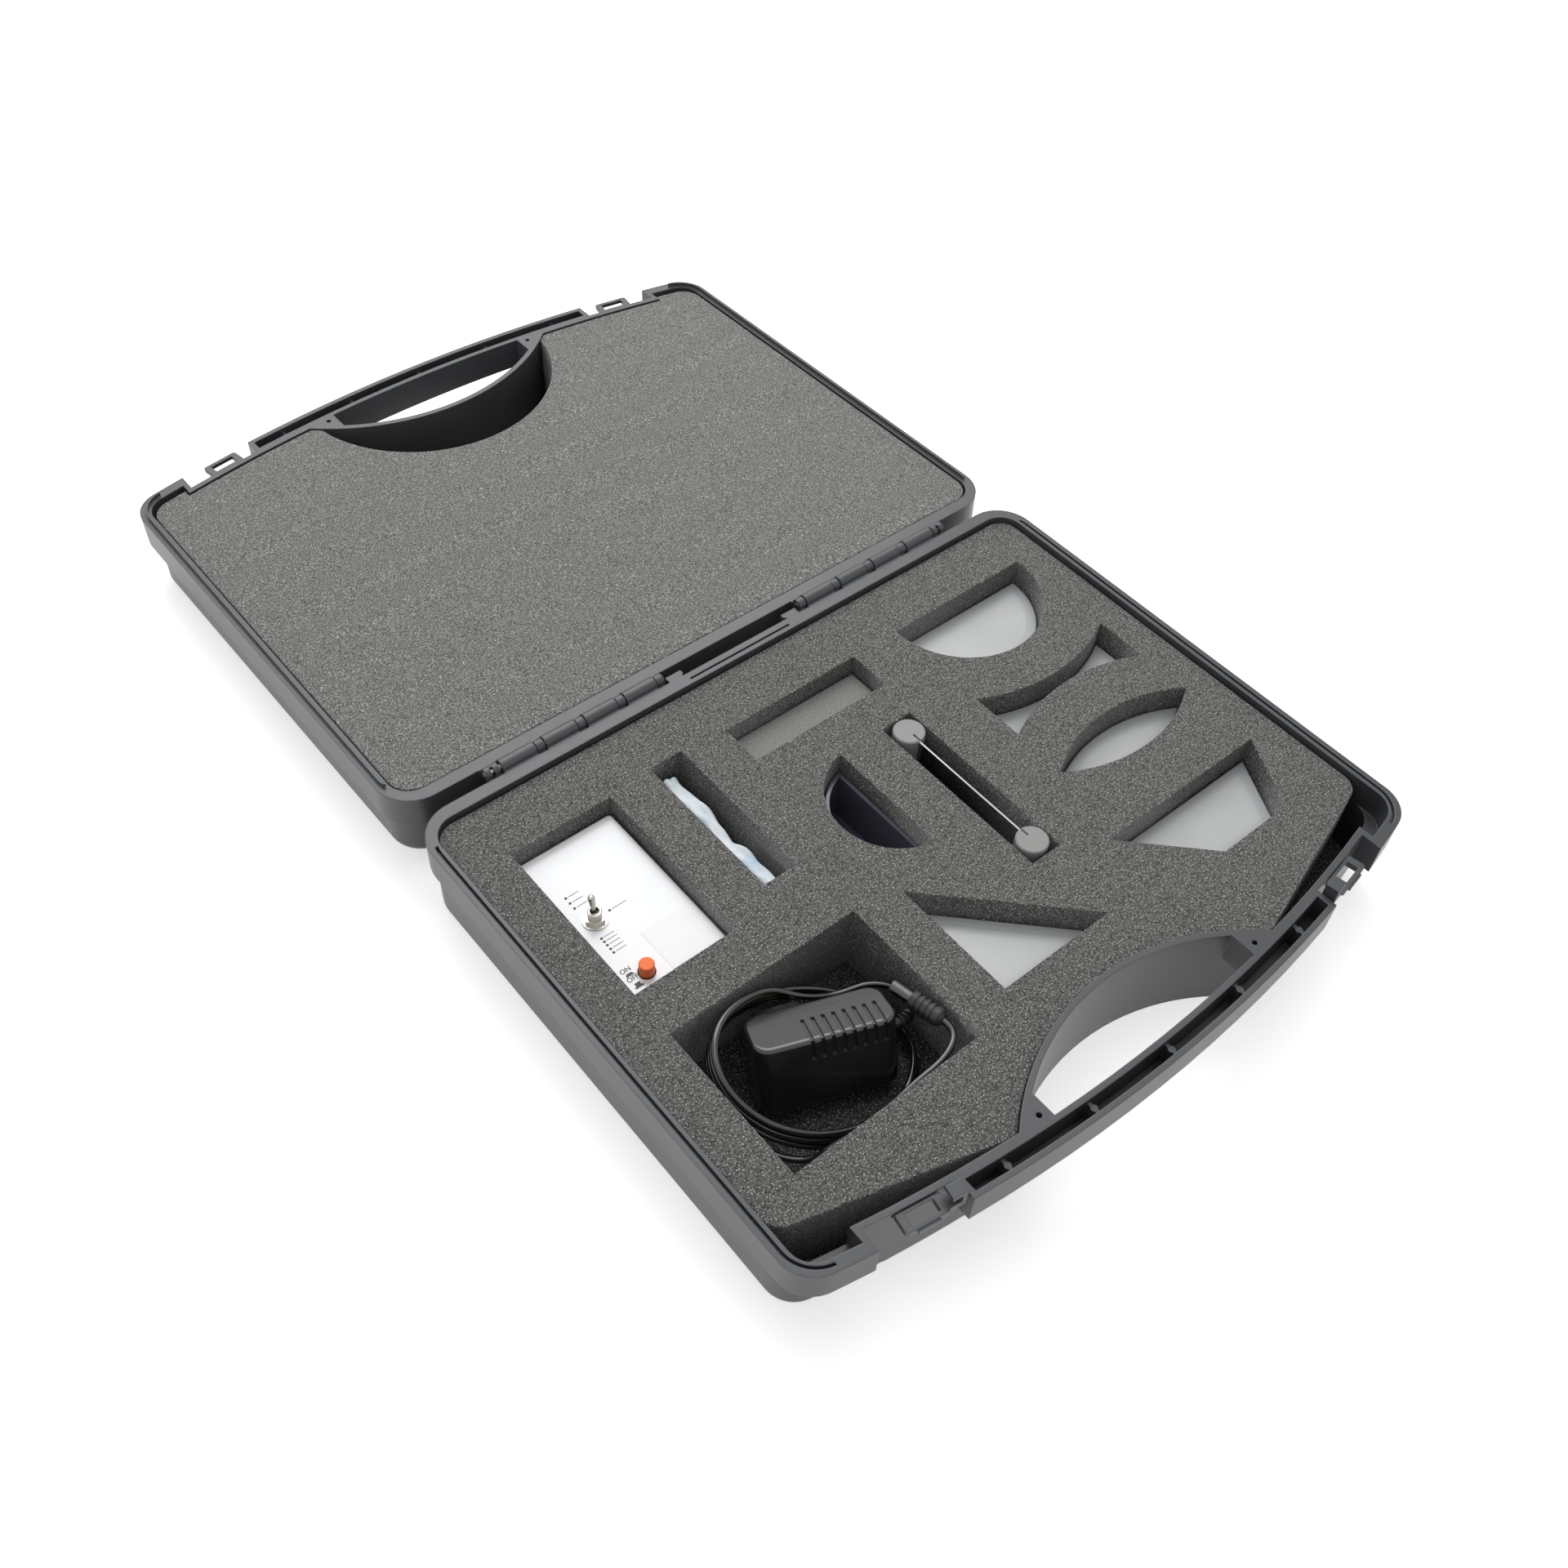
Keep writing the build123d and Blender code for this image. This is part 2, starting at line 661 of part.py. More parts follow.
def dish_plan(grow=0.0):
    disc = Circle(dish_radius + grow)
    left = Pos(-dish_cut + grow - 2 * dish_radius, 0) * Rectangle(4 * dish_radius, 4 * dish_radius)
    return Pos(*dish_centre) * (disc & left)


def box_plan(grow=0.0):
    return Pos(*box_centre) * Rectangle(box_width + 2 * grow, box_length + 2 * grow)


def adapter_pocket_plan():
    return Pos(*pocket_middle) * Rectangle(pocket_right - pocket_left, pocket_back - pocket_front)


def standing(plan, height):
    """A block on the foam pad with its sharp top and bottom edges broken."""
    block = prism(plan, pad_top, pad_top + height)
    rims = block.edges().group_by(Axis.Z)
    return chamfer(rims[0] + rims[-1], block_chamfer)


def base_foam_panels():
    """The cut insert, in panels that meet face to face between the pockets."""
    side = case_right - rim_width - foam_side_clearance
    back_y = -(back_offset + ledge_depth + foam_side_clearance)
    corner_y = foam_corner_inset - case_reach
    front_y = foam_front_inset - case_reach
    plan = make_face(Polyline((-side, back_y), (side, back_y), (side, corner_y), (foam_front_x, front_y),
                              (-foam_front_x, front_y), (-side, corner_y), close=True))
    corners = plan.vertices().sort_by(Axis.X)
    plan = fillet(corners[:2] + corners[-2:], foam_corner_radius)
    plan -= Pos(0, hand_centre_y) * Circle(hand_hole_radius + hand_wall + foam_fit)
    for shape in (semicircle_plan, concave_plan, convex_plan, trapezoid_plan, triangle_plan,
                  slab_plan, dish_plan):
        plan -= shape(piece_clearance)
    plan -= box_plan(box_pocket_clearance)
    plan -= adapter_pocket_plan()
    plan -= Pos(*mirror_centre) * Rectangle(mirror_pocket_width, mirror_pocket_length)
    plan -= Pos(*cloth_pocket_centre) * Rectangle(cloth_pocket_width, cloth_pocket_length)
    # right edge of each column of panels, and where its back panel meets its front one,
    # each halfway between the pockets on its two sides
    left_x = (pocket_right + slab_centre[0] - slab_length / 2) / 2
    right_x = (mirror_centre[0] + mirror_pocket_width / 2 + trapezoid_corner[0] - trapezoid_long) / 2
    left_y = (box_centre[1] - box_length / 2 + pocket_back) / 2
    middle_y = (slab_centre[1] - slab_width / 2 + mirror_centre[1] + mirror_pocket_length / 2) / 2
    right_y = (concave_centre[1] - concave_end / 2 + convex_centre[1] + convex_thickness / 2) / 2
    columns = {"left": (left_x, left_y), "middle": (right_x, middle_y), "right": (case_width, right_y)}
    panels = {}
    left = -case_width
    for column, (right, split_y) in columns.items():
        width = right - left
        for row, edge_y in (("back", case_reach), ("front", -case_reach)):
            window = Pos((left + right) / 2, split_y + edge_y / 2) * Rectangle(width, case_reach)
            panels[f"base_foam_{column}_{row}"] = prism(plan & window, pad_top, foam_top)
        left = right
    return panels


def foam_plan(front_inset):
    """Outline of a foam sheet that fills a tray up to the wall round the hand hole."""
    grow = foam_side_clearance
    plan = tray_plan(rim_width + grow, ledge_depth + grow, front_inset + grow,
                     inner_corner_radius, inner_corner_radius)
    return plan - Pos(0, hand_centre_y) * Circle(hand_hole_radius + hand_wall + foam_fit)


def base_foam_pad():
    return prism(foam_plan(inner_front), pad_bottom, pad_top)


def lid_foam():
    """The lid's foam: a deep sheet, and a layer near the rim that fills the front corners."""
    top = rim_gap + lid_foam_drop
    body = prism(foam_plan(inner_front), top, rim_gap + lid_height - floor_thickness)
    bays = strip(0, bay_outer_x + bay_wall + foam_side_clearance)
    corners = foam_plan(rim_width + lid_foam_front_gap) - bays
    body += prism(corners, top, rim_gap + lid_foam_front_drop)
    arc = Pos(0, lid_foam_arc_inset - case_reach) * Circle(lid_foam_arc_radius)
    return body - prism(arc, 0, lid_height)


def dish():
    body = prism(dish_plan(), pad_top, pad_top + dish_height)
    return body - prism(dish_plan(-dish_wall), pad_top + dish_floor, pad_top + dish_height)


def mirror_posts():
    posts = []
    for side in (-1, 1):
        post = Cylinder(mirror_post_radius, mirror_post_height)
        post = chamfer(post.edges(), block_chamfer)
        post = Pos(mirror_centre[0], mirror_centre[1] + side * mirror_post_spacing / 2,
                   pad_top + mirror_post_height / 2) * post
        half = mirror_thickness / 2 + mirror_slot_clearance
        inner_y = mirror_centre[1] + side * (mirror_post_spacing / 2 - mirror_post_radius - past)
        deep_y = mirror_centre[1] + side * (mirror_post_spacing / 2 - mirror_post_radius + mirror_slot_depth)
        post -= slab(mirror_centre[0] - half, mirror_centre[0] + half, min(inner_y, deep_y),
                     max(inner_y, deep_y), pad_top - past, pad_top + mirror_post_height + past)
        posts.append(post)
    return posts


def mirror_strip():
    half = mirror_post_spacing / 2 - mirror_post_radius + mirror_slot_depth - mirror_slot_clearance
    low = pad_top + mirror_post_height - mirror_height - mirror_drop
    return slab(mirror_centre[0] - mirror_thickness / 2, mirror_centre[0] + mirror_thickness / 2,
                mirror_centre[1] - half, mirror_centre[1] + half, low, low + mirror_height)


def cloth():
    """Folded cloth standing in its pocket: a soft pad whose top edge waves."""
    x = cloth_pocket_centre[0] - cloth_pocket_width / 2 + cloth_gap + cloth_width / 2
    y = cloth_pocket_centre[1]
    half = cloth_length / 2
    low = pad_top
    end = pad_top + cloth_height - cloth_ends_drop
    dip = pad_top + cloth_height - cloth_dip_drop
    side = Polyline((y - half, low), (y - half, end)) + ThreePointArc(
        (y - half, end), (y - half / 2, pad_top + cloth_height - cloth_crest_drop), (y, dip))
    side = side + ThreePointArc((y, dip), (y + half / 2, pad_top + cloth_height), (y + half, dip))
    side = side + Polyline((y + half, dip), (y + half, low), (y - half, low))
    pad = Pos(x - cloth_width / 2, 0, 0) * extrude(make_face(Plane.YZ * side), cloth_width, dir=(1, 0, 0))
    return fillet(pad.edges().filter_by(Axis.Z), cloth_corner)


# ---- laser ray box ----
box_x, box_y = box_centre
box_bottom = pad_top
box_top = box_bottom + box_height
plate_top = box_bottom + plate_thickness
roof_under = box_top - box_wall
beam_z = plate_top + beam_height
right_face = box_x + box_width / 2
left_face = box_x - box_width / 2
back_face = box_y + box_length / 2
front_face = box_y - box_length / 2
toggle_centre = (left_face + toggle_place[0], box_y + toggle_place[1])
button_centre = (left_face + button_place[0], front_face + button_place[1])
jack_x = left_face + jack_side
jack_z = box_top - jack_drop
cover_x = [box_x + side * (box_width / 2 - corner_post_inset) for side in (-1, 1)]
cover_y = [box_y + side * (box_length / 2 - corner_post_inset) for side in (-1, 1)]
emitter_y = [box_y + (index - (emitter_count - 1) / 2) * emitter_pitch for index in range(emitter_count)]


def box_cover():
    body = slab(left_face, right_face, front_face, back_face, box_bottom, box_top)
    body = fillet(body.edges().filter_by(Axis.Z), box_corner_radius)
    body = fillet(body.faces().sort_by(Axis.Z)[-1].edges(), box_corner_radius / 2)
    body -= slab(left_face + box_wall, right_face - box_wall, front_face + box_wall,
                 back_face - box_wall, box_bottom - past, roof_under)
    for x in cover_x:
        for y in cover_y:
            post = Cylinder(corner_post_radius, roof_under - plate_top - plate_clearance,
                            align=upward)
            body += Pos(x, y, plate_top + plate_clearance) * post
            pilot = Cylinder(screw_radius + screw_clearance, 2 * (screw_length + screw_tip_clearance))
            body -= Pos(x, y, box_bottom) * pilot
    body -= Pos(*toggle_centre, box_top) * Cylinder(bushing_radius + bushing_clearance, 4 * box_wall)
    body -= Pos(*button_centre, box_top) * Cylinder(cap_radius + cap_hole_clearance, 4 * box_wall)
    half_y = window_length / 2 + window_clearance
    half_z = window_height / 2 + window_clearance
    body -= slab(right_face - window_thickness, right_face + past, box_y - half_y, box_y + half_y,
                 beam_z - half_z, beam_z + half_z)
    for y in emitter_y:
        body -= Pos(right_face, y, beam_z) * Rotation(0, 90, 0) * Cylinder(aperture_radius, 4 * box_wall)
    hole = Rotation(90, 0, 0) * Cylinder(jack_nose_radius + jack_clearance, 4 * box_wall)
    body -= Pos(jack_x, back_face, jack_z) * hole
    return body


def box_base_plate():
    half_x = box_width / 2 - box_wall - plate_clearance
    half_y = box_length / 2 - box_wall - plate_clearance
    plate = slab(box_x - half_x, box_x + half_x, box_y - half_y, box_y + half_y, box_bottom, plate_top)
    for x in cover_x:
        for y in cover_y:
            hole = Cylinder(screw_radius + 2 * screw_clearance, 4 * plate_thickness)
            plate -= Pos(x, y, box_bottom) * hole
            recess = Cylinder(screw_head_radius + head_clearance, 2 * (screw_head_height + head_clearance))
            plate -= Pos(x, y, box_bottom) * recess
    board_x, board_y = board_place
    for side_x in (-1, 1):
        for side_y in (-1, 1):
            post = Cylinder(board_post_radius, board_post_height, align=upward)
            plate += Pos(board_x + side_x * (board_size[0] / 2 - board_post_inset[0]),
                         board_y + side_y * (board_size[1] / 2 - board_post_inset[1]), plate_top) * post
    return plate


def box_screws():
    screws = []
    for x in cover_x:
        for y in cover_y:
            head = Cylinder(screw_head_radius, screw_head_height, align=upward)
            shank = Cylinder(screw_radius, screw_length, align=upward)
            cross = Box(cross_width, cross_length, cross_depth) + Box(cross_length, cross_width, cross_depth)
            screws.append(Pos(x, y, box_bottom + screw_recess) * (head + shank - cross))
    return Compound(children=screws)


board_place = (left_face + box_wall + board_gap + board_width / 2, box_y)
board_size = (board_width, box_length - 2 * (box_wall + jack_size[1] + board_gap), board_thickness)
board_low = plate_top + board_post_height


def circuit_board():
    x, y = board_place
    board = slab(x - board_size[0] / 2, x + board_size[0] / 2, y - board_size[1] / 2,
                 y + board_size[1] / 2, board_low, board_low + board_size[2])
    top = board_low + board_size[2]
    chip = Pos(x + chip_place[0], y + chip_place[1], top) * Box(*chip_size, align=upward)
    coil = Pos(x + coil_place[0], y + coil_place[1], top) * Cylinder(coil_radius, coil_height, align=upward)
    return board + chip + coil


bushing_top = box_top + bushing_height


def toggle_body():
    x, y = toggle_centre
    sx, sy, sz = toggle_body_size
    body = slab(x - sx / 2, x + sx / 2, y - sy / 2, y + sy / 2, roof_under - sz, roof_under)
    bushing = Pos(x, y, roof_under) * Cylinder(bushing_radius, box_wall + bushing_height,
                                               align=upward)
    bore_depth = lever_pivot_depth + lever_ball_radius + lever_clearance
    bore = Pos(x, y, bushing_top - bore_depth) * Cylinder(bushing_bore, bore_depth + past, align=upward)
    return body + chamfer(bushing.edges().group_by(Axis.Z)[-1], bushing_chamfer) - bore


def toggle_washer():
    ring = Circle(washer_radius) - Circle(bushing_radius + nut_clearance)
    return Pos(*toggle_centre, 0) * prism(ring, box_top, box_top + washer_thickness)


def toggle_nut():
    low = box_top + washer_thickness
    hexagon = RegularPolygon(nut_across_flats / 2, 6, major_radius=False)
    hexagon = hexagon - Circle(bushing_radius + nut_clearance)
    return Pos(*toggle_centre, 0) * prism(hexagon, low, low + nut_thickness)


def toggle_lever():
    """Bat lever on a ball in the bushing's bore, with a cross pin that it turns on."""
    pivot = bushing_top - lever_pivot_depth
    ball = Sphere(lever_ball_radius)
    length = lever_pivot_depth + lever_length
    shaft = Cone(lever_radius_bottom, lever_radius_top, length, align=upward)
    tip = Pos(0, 0, length) * Sphere(lever_radius_top)
    pin = Rotation(0, 90, 0) * Cylinder(lever_pin_radius, lever_pin_length)
    return Pos(*toggle_centre, pivot) * (ball + shaft + tip + pin)


push_top = roof_under - push_drop


def power_switch_body():
    x, y = button_centre
    sx, sy, sz = push_body_size
    body = slab(x - sx / 2, x + sx / 2, y - sy / 2, y + sy / 2, roof_under - sz, push_top)
    half = push_stem + push_stem_clearance
    return body - slab(x - half, x + half, y - half, y + half, push_top - sz / 2, push_top + past)


def power_button_cap():
    low = push_top + cap_travel + push_drop
    top = box_top + cap_height
    cap = Cylinder(cap_radius, top - low, align=upward)
    cap = fillet(cap.edges().group_by(Axis.Z)[-1], cap_rounding)
    stem = slab(-push_stem, push_stem, -push_stem, push_stem, -cap_travel - stem_engaged, past)
    return Pos(*button_centre, low) * (cap + stem)


holder_right = right_face - box_wall - holder_gap
holder_length = box_length - 2 * (corner_post_inset + corner_post_radius + holder_clearance)


def laser_emitters():
    """Five brass barrels, each with a stepped front towards the window."""
    rods = []
    for y in emitter_y:
        rod = Cylinder(emitter_radius, emitter_length)
        rod = chamfer(rod.edges(), emitter_chamfer)
        nose = Pos(0, 0, emitter_length / 2) * Cylinder(aperture_radius, 2 * emitter_nose)
        place = Pos(holder_right - emitter_length / 2 - emitter_inset, y, beam_z) * Rotation(0, 90, 0)
        rods.append(place * (rod + nose))
    return Compound(children=rods)


def emitter_holder():
    bar = slab(holder_right - holder_width, holder_right, box_y - holder_length / 2,
               box_y + holder_length / 2, plate_top, plate_top + beam_height + holder_height / 2)
    for y in emitter_y:
        bore = Cylinder(emitter_radius + emitter_clearance, 4 * holder_width)
        bar -= Pos(holder_right, y, beam_z) * Rotation(0, 90, 0) * bore
    return bar


def beam_window():
    return slab(right_face - window_thickness, right_face, box_y - window_length / 2,
                box_y + window_length / 2, beam_z - window_height / 2, beam_z + window_height / 2)


def dc_jack():
    sx, sy, sz = jack_size
    inner = back_face - box_wall
    body = slab(jack_x - sx / 2, jack_x + sx / 2, inner - sy, inner, jack_z - sz / 2, jack_z + sz / 2)
    nose = Pos(jack_x, inner + box_wall / 2, jack_z) * Rotation(90, 0, 0)
    body += nose * Cylinder(jack_nose_radius, box_wall)
    mouth = Pos(jack_x, back_face, jack_z) * Rotation(90, 0, 0)
    body -= mouth * Cylinder(jack_bore_radius, 2 * jack_bore_depth)
    pin = Pos(jack_x, back_face - jack_bore_depth / 2 - past, jack_z) * Rotation(90, 0, 0)
    return body + pin * Cylinder(jack_pin_radius, jack_bore_depth)


# ---- mains adapter: its own frame has u along it, v to its back face and w up ----
lean = radians(adapter_lean)
adapter_half_height = (adapter_depth * cos(lean) + adapter_thickness * sin(lean)) / 2
adapter_middle = (pocket_middle[0] + adapter_offset[0], pocket_middle[1] + adapter_offset[1],
                  pad_top + adapter_half_height)
adapter_frame = Location(adapter_middle, (0, 0, adapter_turn))
adapter_frame = adapter_frame * Location((0, 0, 0), (-adapter_lean, 0, 0))
split_v = adapter_thickness / 2 - adapter_split


def adapter_hollow():
    """The adapter's whole shell with its vent grooves, before it is parted."""
    block = Box(adapter_length, adapter_thickness, adapter_depth)
    block = fillet(block.edges().filter_by(Axis.Z), adapter_corner_radius)
    rims = block.edges().group_by(Axis.Z)
    block = fillet(rims[0] + rims[-1], adapter_edge_radius)
    wall = adapter_wall
    inner = Box(adapter_length - 2 * wall, adapter_thickness - 2 * wall, adapter_depth - 2 * wall)
    block -= fillet(inner.edges().filter_by(Axis.Z), adapter_corner_radius - wall)
    top = adapter_depth / 2
    front = -adapter_thickness / 2
    for index in range(vent_count):
        low_u = vent_first + index * vent_pitch - vent_width / 2
        high_u = low_u + vent_width
        block -= slab(low_u, high_u, front - past, vent_back, top - vent_depth, top + past)
        block -= slab(low_u, high_u, front - past, front + vent_depth, vent_low, top + past)
    return block


def adapter_front_shell():
    size = 2 * adapter_length
    return adapter_frame * (adapter_hollow() & slab(-size, size, -size, split_v, -size, size))


def adapter_back_shell():
    size = 2 * adapter_length
    shell = adapter_hollow() & slab(-size, size, split_v, size, -size, size)
    back = adapter_thickness / 2
    top = adapter_depth / 2 - plug_face_drop
    face = slab(plug_face_shift - plug_face_width / 2, plug_face_shift + plug_face_width / 2,
                back - adapter_wall, back + plug_face_thickness, top - plug_face_height, top)
    shell += fillet(face.edges().filter_by(Axis.Y), plug_face_corner)
    return adapter_frame * shell


def plug_blades():
    blades = []
    back = adapter_thickness / 2 + plug_face_thickness
    for side in (-1, 1):
        u = plug_face_shift + side * blade_spacing / 2
        blade = slab(u - blade_thickness / 2, u + blade_thickness / 2, back, back + blade_length,
                     blade_height - blade_width / 2, blade_height + blade_width / 2)
        blade = chamfer(blade.faces().sort_by(Axis.Y)[-1].edges(), blade_chamfer)
        blades.append(adapter_frame * blade)
    return Compound(children=blades)


def adapter_core():
    """Power supply inside: a board standing on the front shell's wall, with its transformer."""
    sx, sy, sz = core_size
    front = adapter_wall - adapter_thickness / 2 + core_gap
    half = adapter_length / 2 - core_board_margin
    back = front + core_board_thickness
    board = slab(-half, half, front, back, -core_board_height / 2, core_board_height / 2)
    winding = slab(-sx / 2, sx / 2, back, back + sy, -sz / 2, sz / 2)
    return adapter_frame * (board + winding)


# ---- strain relief: level, out of the adapter's end and round towards its back ----
relief_root = adapter_frame * Location((adapter_length / 2, relief_back, relief_rise))
relief_start = relief_root.position


def relief_point(angle):
    """Place on the relief's bend, and its heading there, after a turn of that many degrees."""
    start = radians(adapter_turn)
    heading = start + radians(angle)
    x = relief_start.X + relief_neck * cos(start) + relief_bend * (sin(heading) - sin(start))
    y = relief_start.Y + relief_neck * sin(start) + relief_bend * (cos(start) - cos(heading))
    return Vector(x, y, relief_start.Z), Vector(cos(heading), sin(heading), 0)


def strain_relief():
    start, heading = relief_point(0)
    middle, _ = relief_point(relief_turn / 2)
    end, _ = relief_point(relief_turn)
    line = Wire([Line(relief_start, start), ThreePointArc(start, middle, end)])
    body = sweep(Plane(relief_start, z_dir=heading) * Circle(relief_tip_radius), path=line)
    for index in range(relief_ribs):
        share = index / (relief_ribs - 1)
        place, way = relief_point(relief_turn * (relief_rib_start + relief_rib_span * share))
        rib = Cylinder(relief_rib_radius - relief_taper * share, relief_rib_width)
        body += Plane(place, z_dir=way) * rib
    return body


# ---- cord: one tube, in arcs that join a row of places with their directions ----
def cord_key(place, way):
    x, y, height = place
    return Vector(pocket_middle[0] + x, pocket_middle[1] + y, pad_top + height), Vector(*way).normalized()


def loop_key(quarter):
    """Place and direction on the loops, counted in quarter turns from the back.

    The height is the middle's, plus tilt times the cosine of the angle from the high side,
    plus fold times the cosine of twice that angle, less the fall.
    """
    angle = pi / 2 * (1 + quarter)
    turns = quarter / 4
    half_x = loop_half_width + loop_growth * turns
    half_y = loop_half_depth + loop_growth * turns
    axis = radians(loop_axis)
    around = angle - axis
    from_high = angle - radians(loop_high)
    widen = loop_growth / (2 * pi)
    height = loop_middle - loop_fall * turns + loop_tilt * cos(from_high) + loop_fold * cos(2 * from_high)
    slope = -loop_fall / (2 * pi) - loop_tilt * sin(from_high) - 2 * loop_fold * sin(2 * from_high)
    along = (half_x * cos(around), widen * cos(around) - half_x * sin(around))
    across = (half_y * sin(around), widen * sin(around) + half_y * cos(around))
    x, way_x = [u * cos(axis) - v * sin(axis) for u, v in zip(along, across)]
    y, way_y = [u * sin(axis) + v * cos(axis) for u, v in zip(along, across)]
    return cord_key((loop_offset[0] + x, loop_offset[1] + y, height), (way_x, way_y, slope))


def biarc(start, start_way, end, end_way):
    """Two arcs that join two places with given directions; gives their meeting point."""
    across = end - start
    both = start_way + end_way
    spread = 2 * (1 - start_way.dot(end_way))
    reach = across.dot(both)
    size = (sqrt(reach**2 + spread * across.dot(across)) - reach) / spread
    middle = (start + start_way * size + end - end_way * size) * 0.5
    first = TangentArc(start, middle, tangent=start_way)
    second = TangentArc(middle, end, tangent=first % 1)
    return [first, second]


def cord_keys():
    keys = [relief_point(relief_turn), cord_key(*cord_lead)]
    keys += [loop_key(quarter) for quarter in range(loop_quarters + 1)]
    keys += [cord_key(*entry) for entry in cord_rest]
    keys.append(cord_key(*plug_rear))
    return keys


def cord_arcs():
    keys = cord_keys()
    arcs = []
    for (start, start_way), (end, end_way) in zip(keys, keys[1:]):
        arcs += biarc(start, start_way, end, end_way)
    return arcs


def adapter_cord():
    arcs = cord_arcs()
    start, way = cord_keys()[0]
    tube = sweep(Plane(start, z_dir=way) * Circle(cord_diameter / 2), path=Wire(arcs))
    length = sum(arc.length for arc in arcs)
    print("cord length", round(length, 1), "volume over section times length",
          round(tube.volume / (pi * cord_diameter**2 / 4 * length), 4))
    print("cord radii", [round(arc.radius, 1) for arc in arcs])
    points = []
    for arc in arcs:
        steps = max(4, round(arc.length / cord_diameter))
        points += [arc @ (step / steps) for step in range(steps)]
    travel = [0.0]
    for here, there in zip(points, points[1:]):
        travel.append(travel[-1] + (there - here).length)
    least = min((points[i] - points[j]).length for i in range(len(points))
                for j in range(i + 1, len(points)) if travel[j] - travel[i] > 6 * cord_diameter)
    print("cord least gap to itself", round(least - cord_diameter, 2),
          "lowest", round(min(point.Z for point in points) - cord_diameter / 2 - pad_top, 2))
    return tube


def cord_plug():
    """Barrel plug on the cord's end, with a ribbed grip."""
    place, way = cord_keys()[-1]
    grip = Cylinder(plug_grip_radius, plug_grip_length, align=upward)
    grip = fillet(grip.edges().group_by(Axis.Z)[-1], plug_front_rounding)
    grip = chamfer(grip.edges().group_by(Axis.Z)[0], plug_rear_chamfer)
    ring = Circle(plug_grip_radius + past) - Circle(plug_grip_radius - plug_ring_depth)
    for index in range(plug_ring_count):
        low = plug_ring_first + plug_ring_pitch * index
        grip -= prism(ring, low, low + plug_ring_width)
    barrel = Cylinder(plug_barrel_radius, plug_barrel_length, align=upward)
    barrel -= Cylinder(plug_bore_radius, 4 * plug_barrel_length)
    barrel = Pos(0, 0, plug_grip_length) * barrel
    frame = Plane(place, z_dir=way)
    return frame * grip, frame * barrel


def box_label_plate():
    high_x = right_face - label_place[0]
    low_y = front_face + label_place[1]
    return slab(high_x - label_size[0], high_x, low_y, low_y + label_size[1],
                box_top, box_top + label_thickness)


def save(name, solid):
    """Write one node; a group of loose solids goes in as one compound."""
    if isinstance(solid, (list, tuple)):
        solid = Compound(children=list(solid))
    solids = solid.solids()
    shape = solids[0] if len(solids) == 1 else Compound(children=list(solids))
    shape = case_place * shape
    shape.label = name
    export_step(shape, f"parts/{name}.step")
    size = shape.bounding_box()
    print(name, len(solids), "solids", round(shape.volume / 1000, 2), "cm3",
          [round(value, 1) for value in (*size.min, *size.max)])


def open_lid(solid):
    return solid.rotate(Axis((0, 0, 0), (1, 0, 0)), -lid_swing)


def main():
    os.makedirs("parts", exist_ok=True)
    print("lid swing", round(lid_swing, 2), "hinge y", round(base_middle, 2))
    save("base_shell", base_shell())
    save("lid_shell", open_lid(lid_shell()))
    right_pin, left_pin = mirrored_pair(hinge_pin())
    save("hinge_pin_right", right_pin)
    save("hinge_pin_left", left_pin)
    right_latch, left_latch = mirrored_pair(latch_slider())
    save("latch_slider_right", right_latch)
    save("latch_slider_left", left_latch)
    for name, panel in base_foam_panels().items():
        save(name, panel)
    save("base_foam_pad", base_foam_pad())
    save("lid_foam", open_lid(lid_foam()))
    save("semicircle_block", standing(semicircle_plan(), block_height))
    save("biconcave_block", standing(concave_plan(), block_height))
    save("biconvex_block", standing(convex_plan(), block_height))
    save("trapezoid_block", standing(trapezoid_plan(), block_height))
    save("triangle_block", standing(triangle_plan(), block_height))
    save("rectangle_block", standing(slab_plan(), slab_height))
    save("water_dish", dish())
    save("mirror_posts", mirror_posts())
    save("mirror_strip", mirror_strip())
    save("cleaning_cloth", cloth())
    save("box_cover", box_cover())
    save("box_base_plate", box_base_plate())
    save("box_screws", box_screws())
    save("box_label", box_label_plate())
    save("circuit_board", circuit_board())
    save("toggle_body", toggle_body())
    save("toggle_washer", toggle_washer())
    save("toggle_nut", toggle_nut())
    save("toggle_lever", toggle_lever().rotate(toggle_axis, -lever_angle))
    save("power_switch_body", power_switch_body())
    save("power_button_cap", power_button_cap())
    save("laser_emitters", laser_emitters())
    save("emitter_holder", emitter_holder())
    save("beam_window", beam_window())
    save("dc_jack", dc_jack())
    save("adapter_front_shell", adapter_front_shell())
    save("adapter_back_shell", adapter_back_shell())
    save("plug_blades", plug_blades())
    save("adapter_core", adapter_core())
    save("strain_relief", strain_relief())
    save("adapter_cord", adapter_cord())
    grip, barrel = cord_plug()
    save("cord_plug_grip", grip)
    save("cord_plug_barrel", barrel)


toggle_axis = Axis((*toggle_centre, bushing_top - lever_pivot_depth), (1, 0, 0))

main()
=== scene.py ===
import math
import bmesh
import bpy
import numpy as np
from mathutils import Matrix, Vector


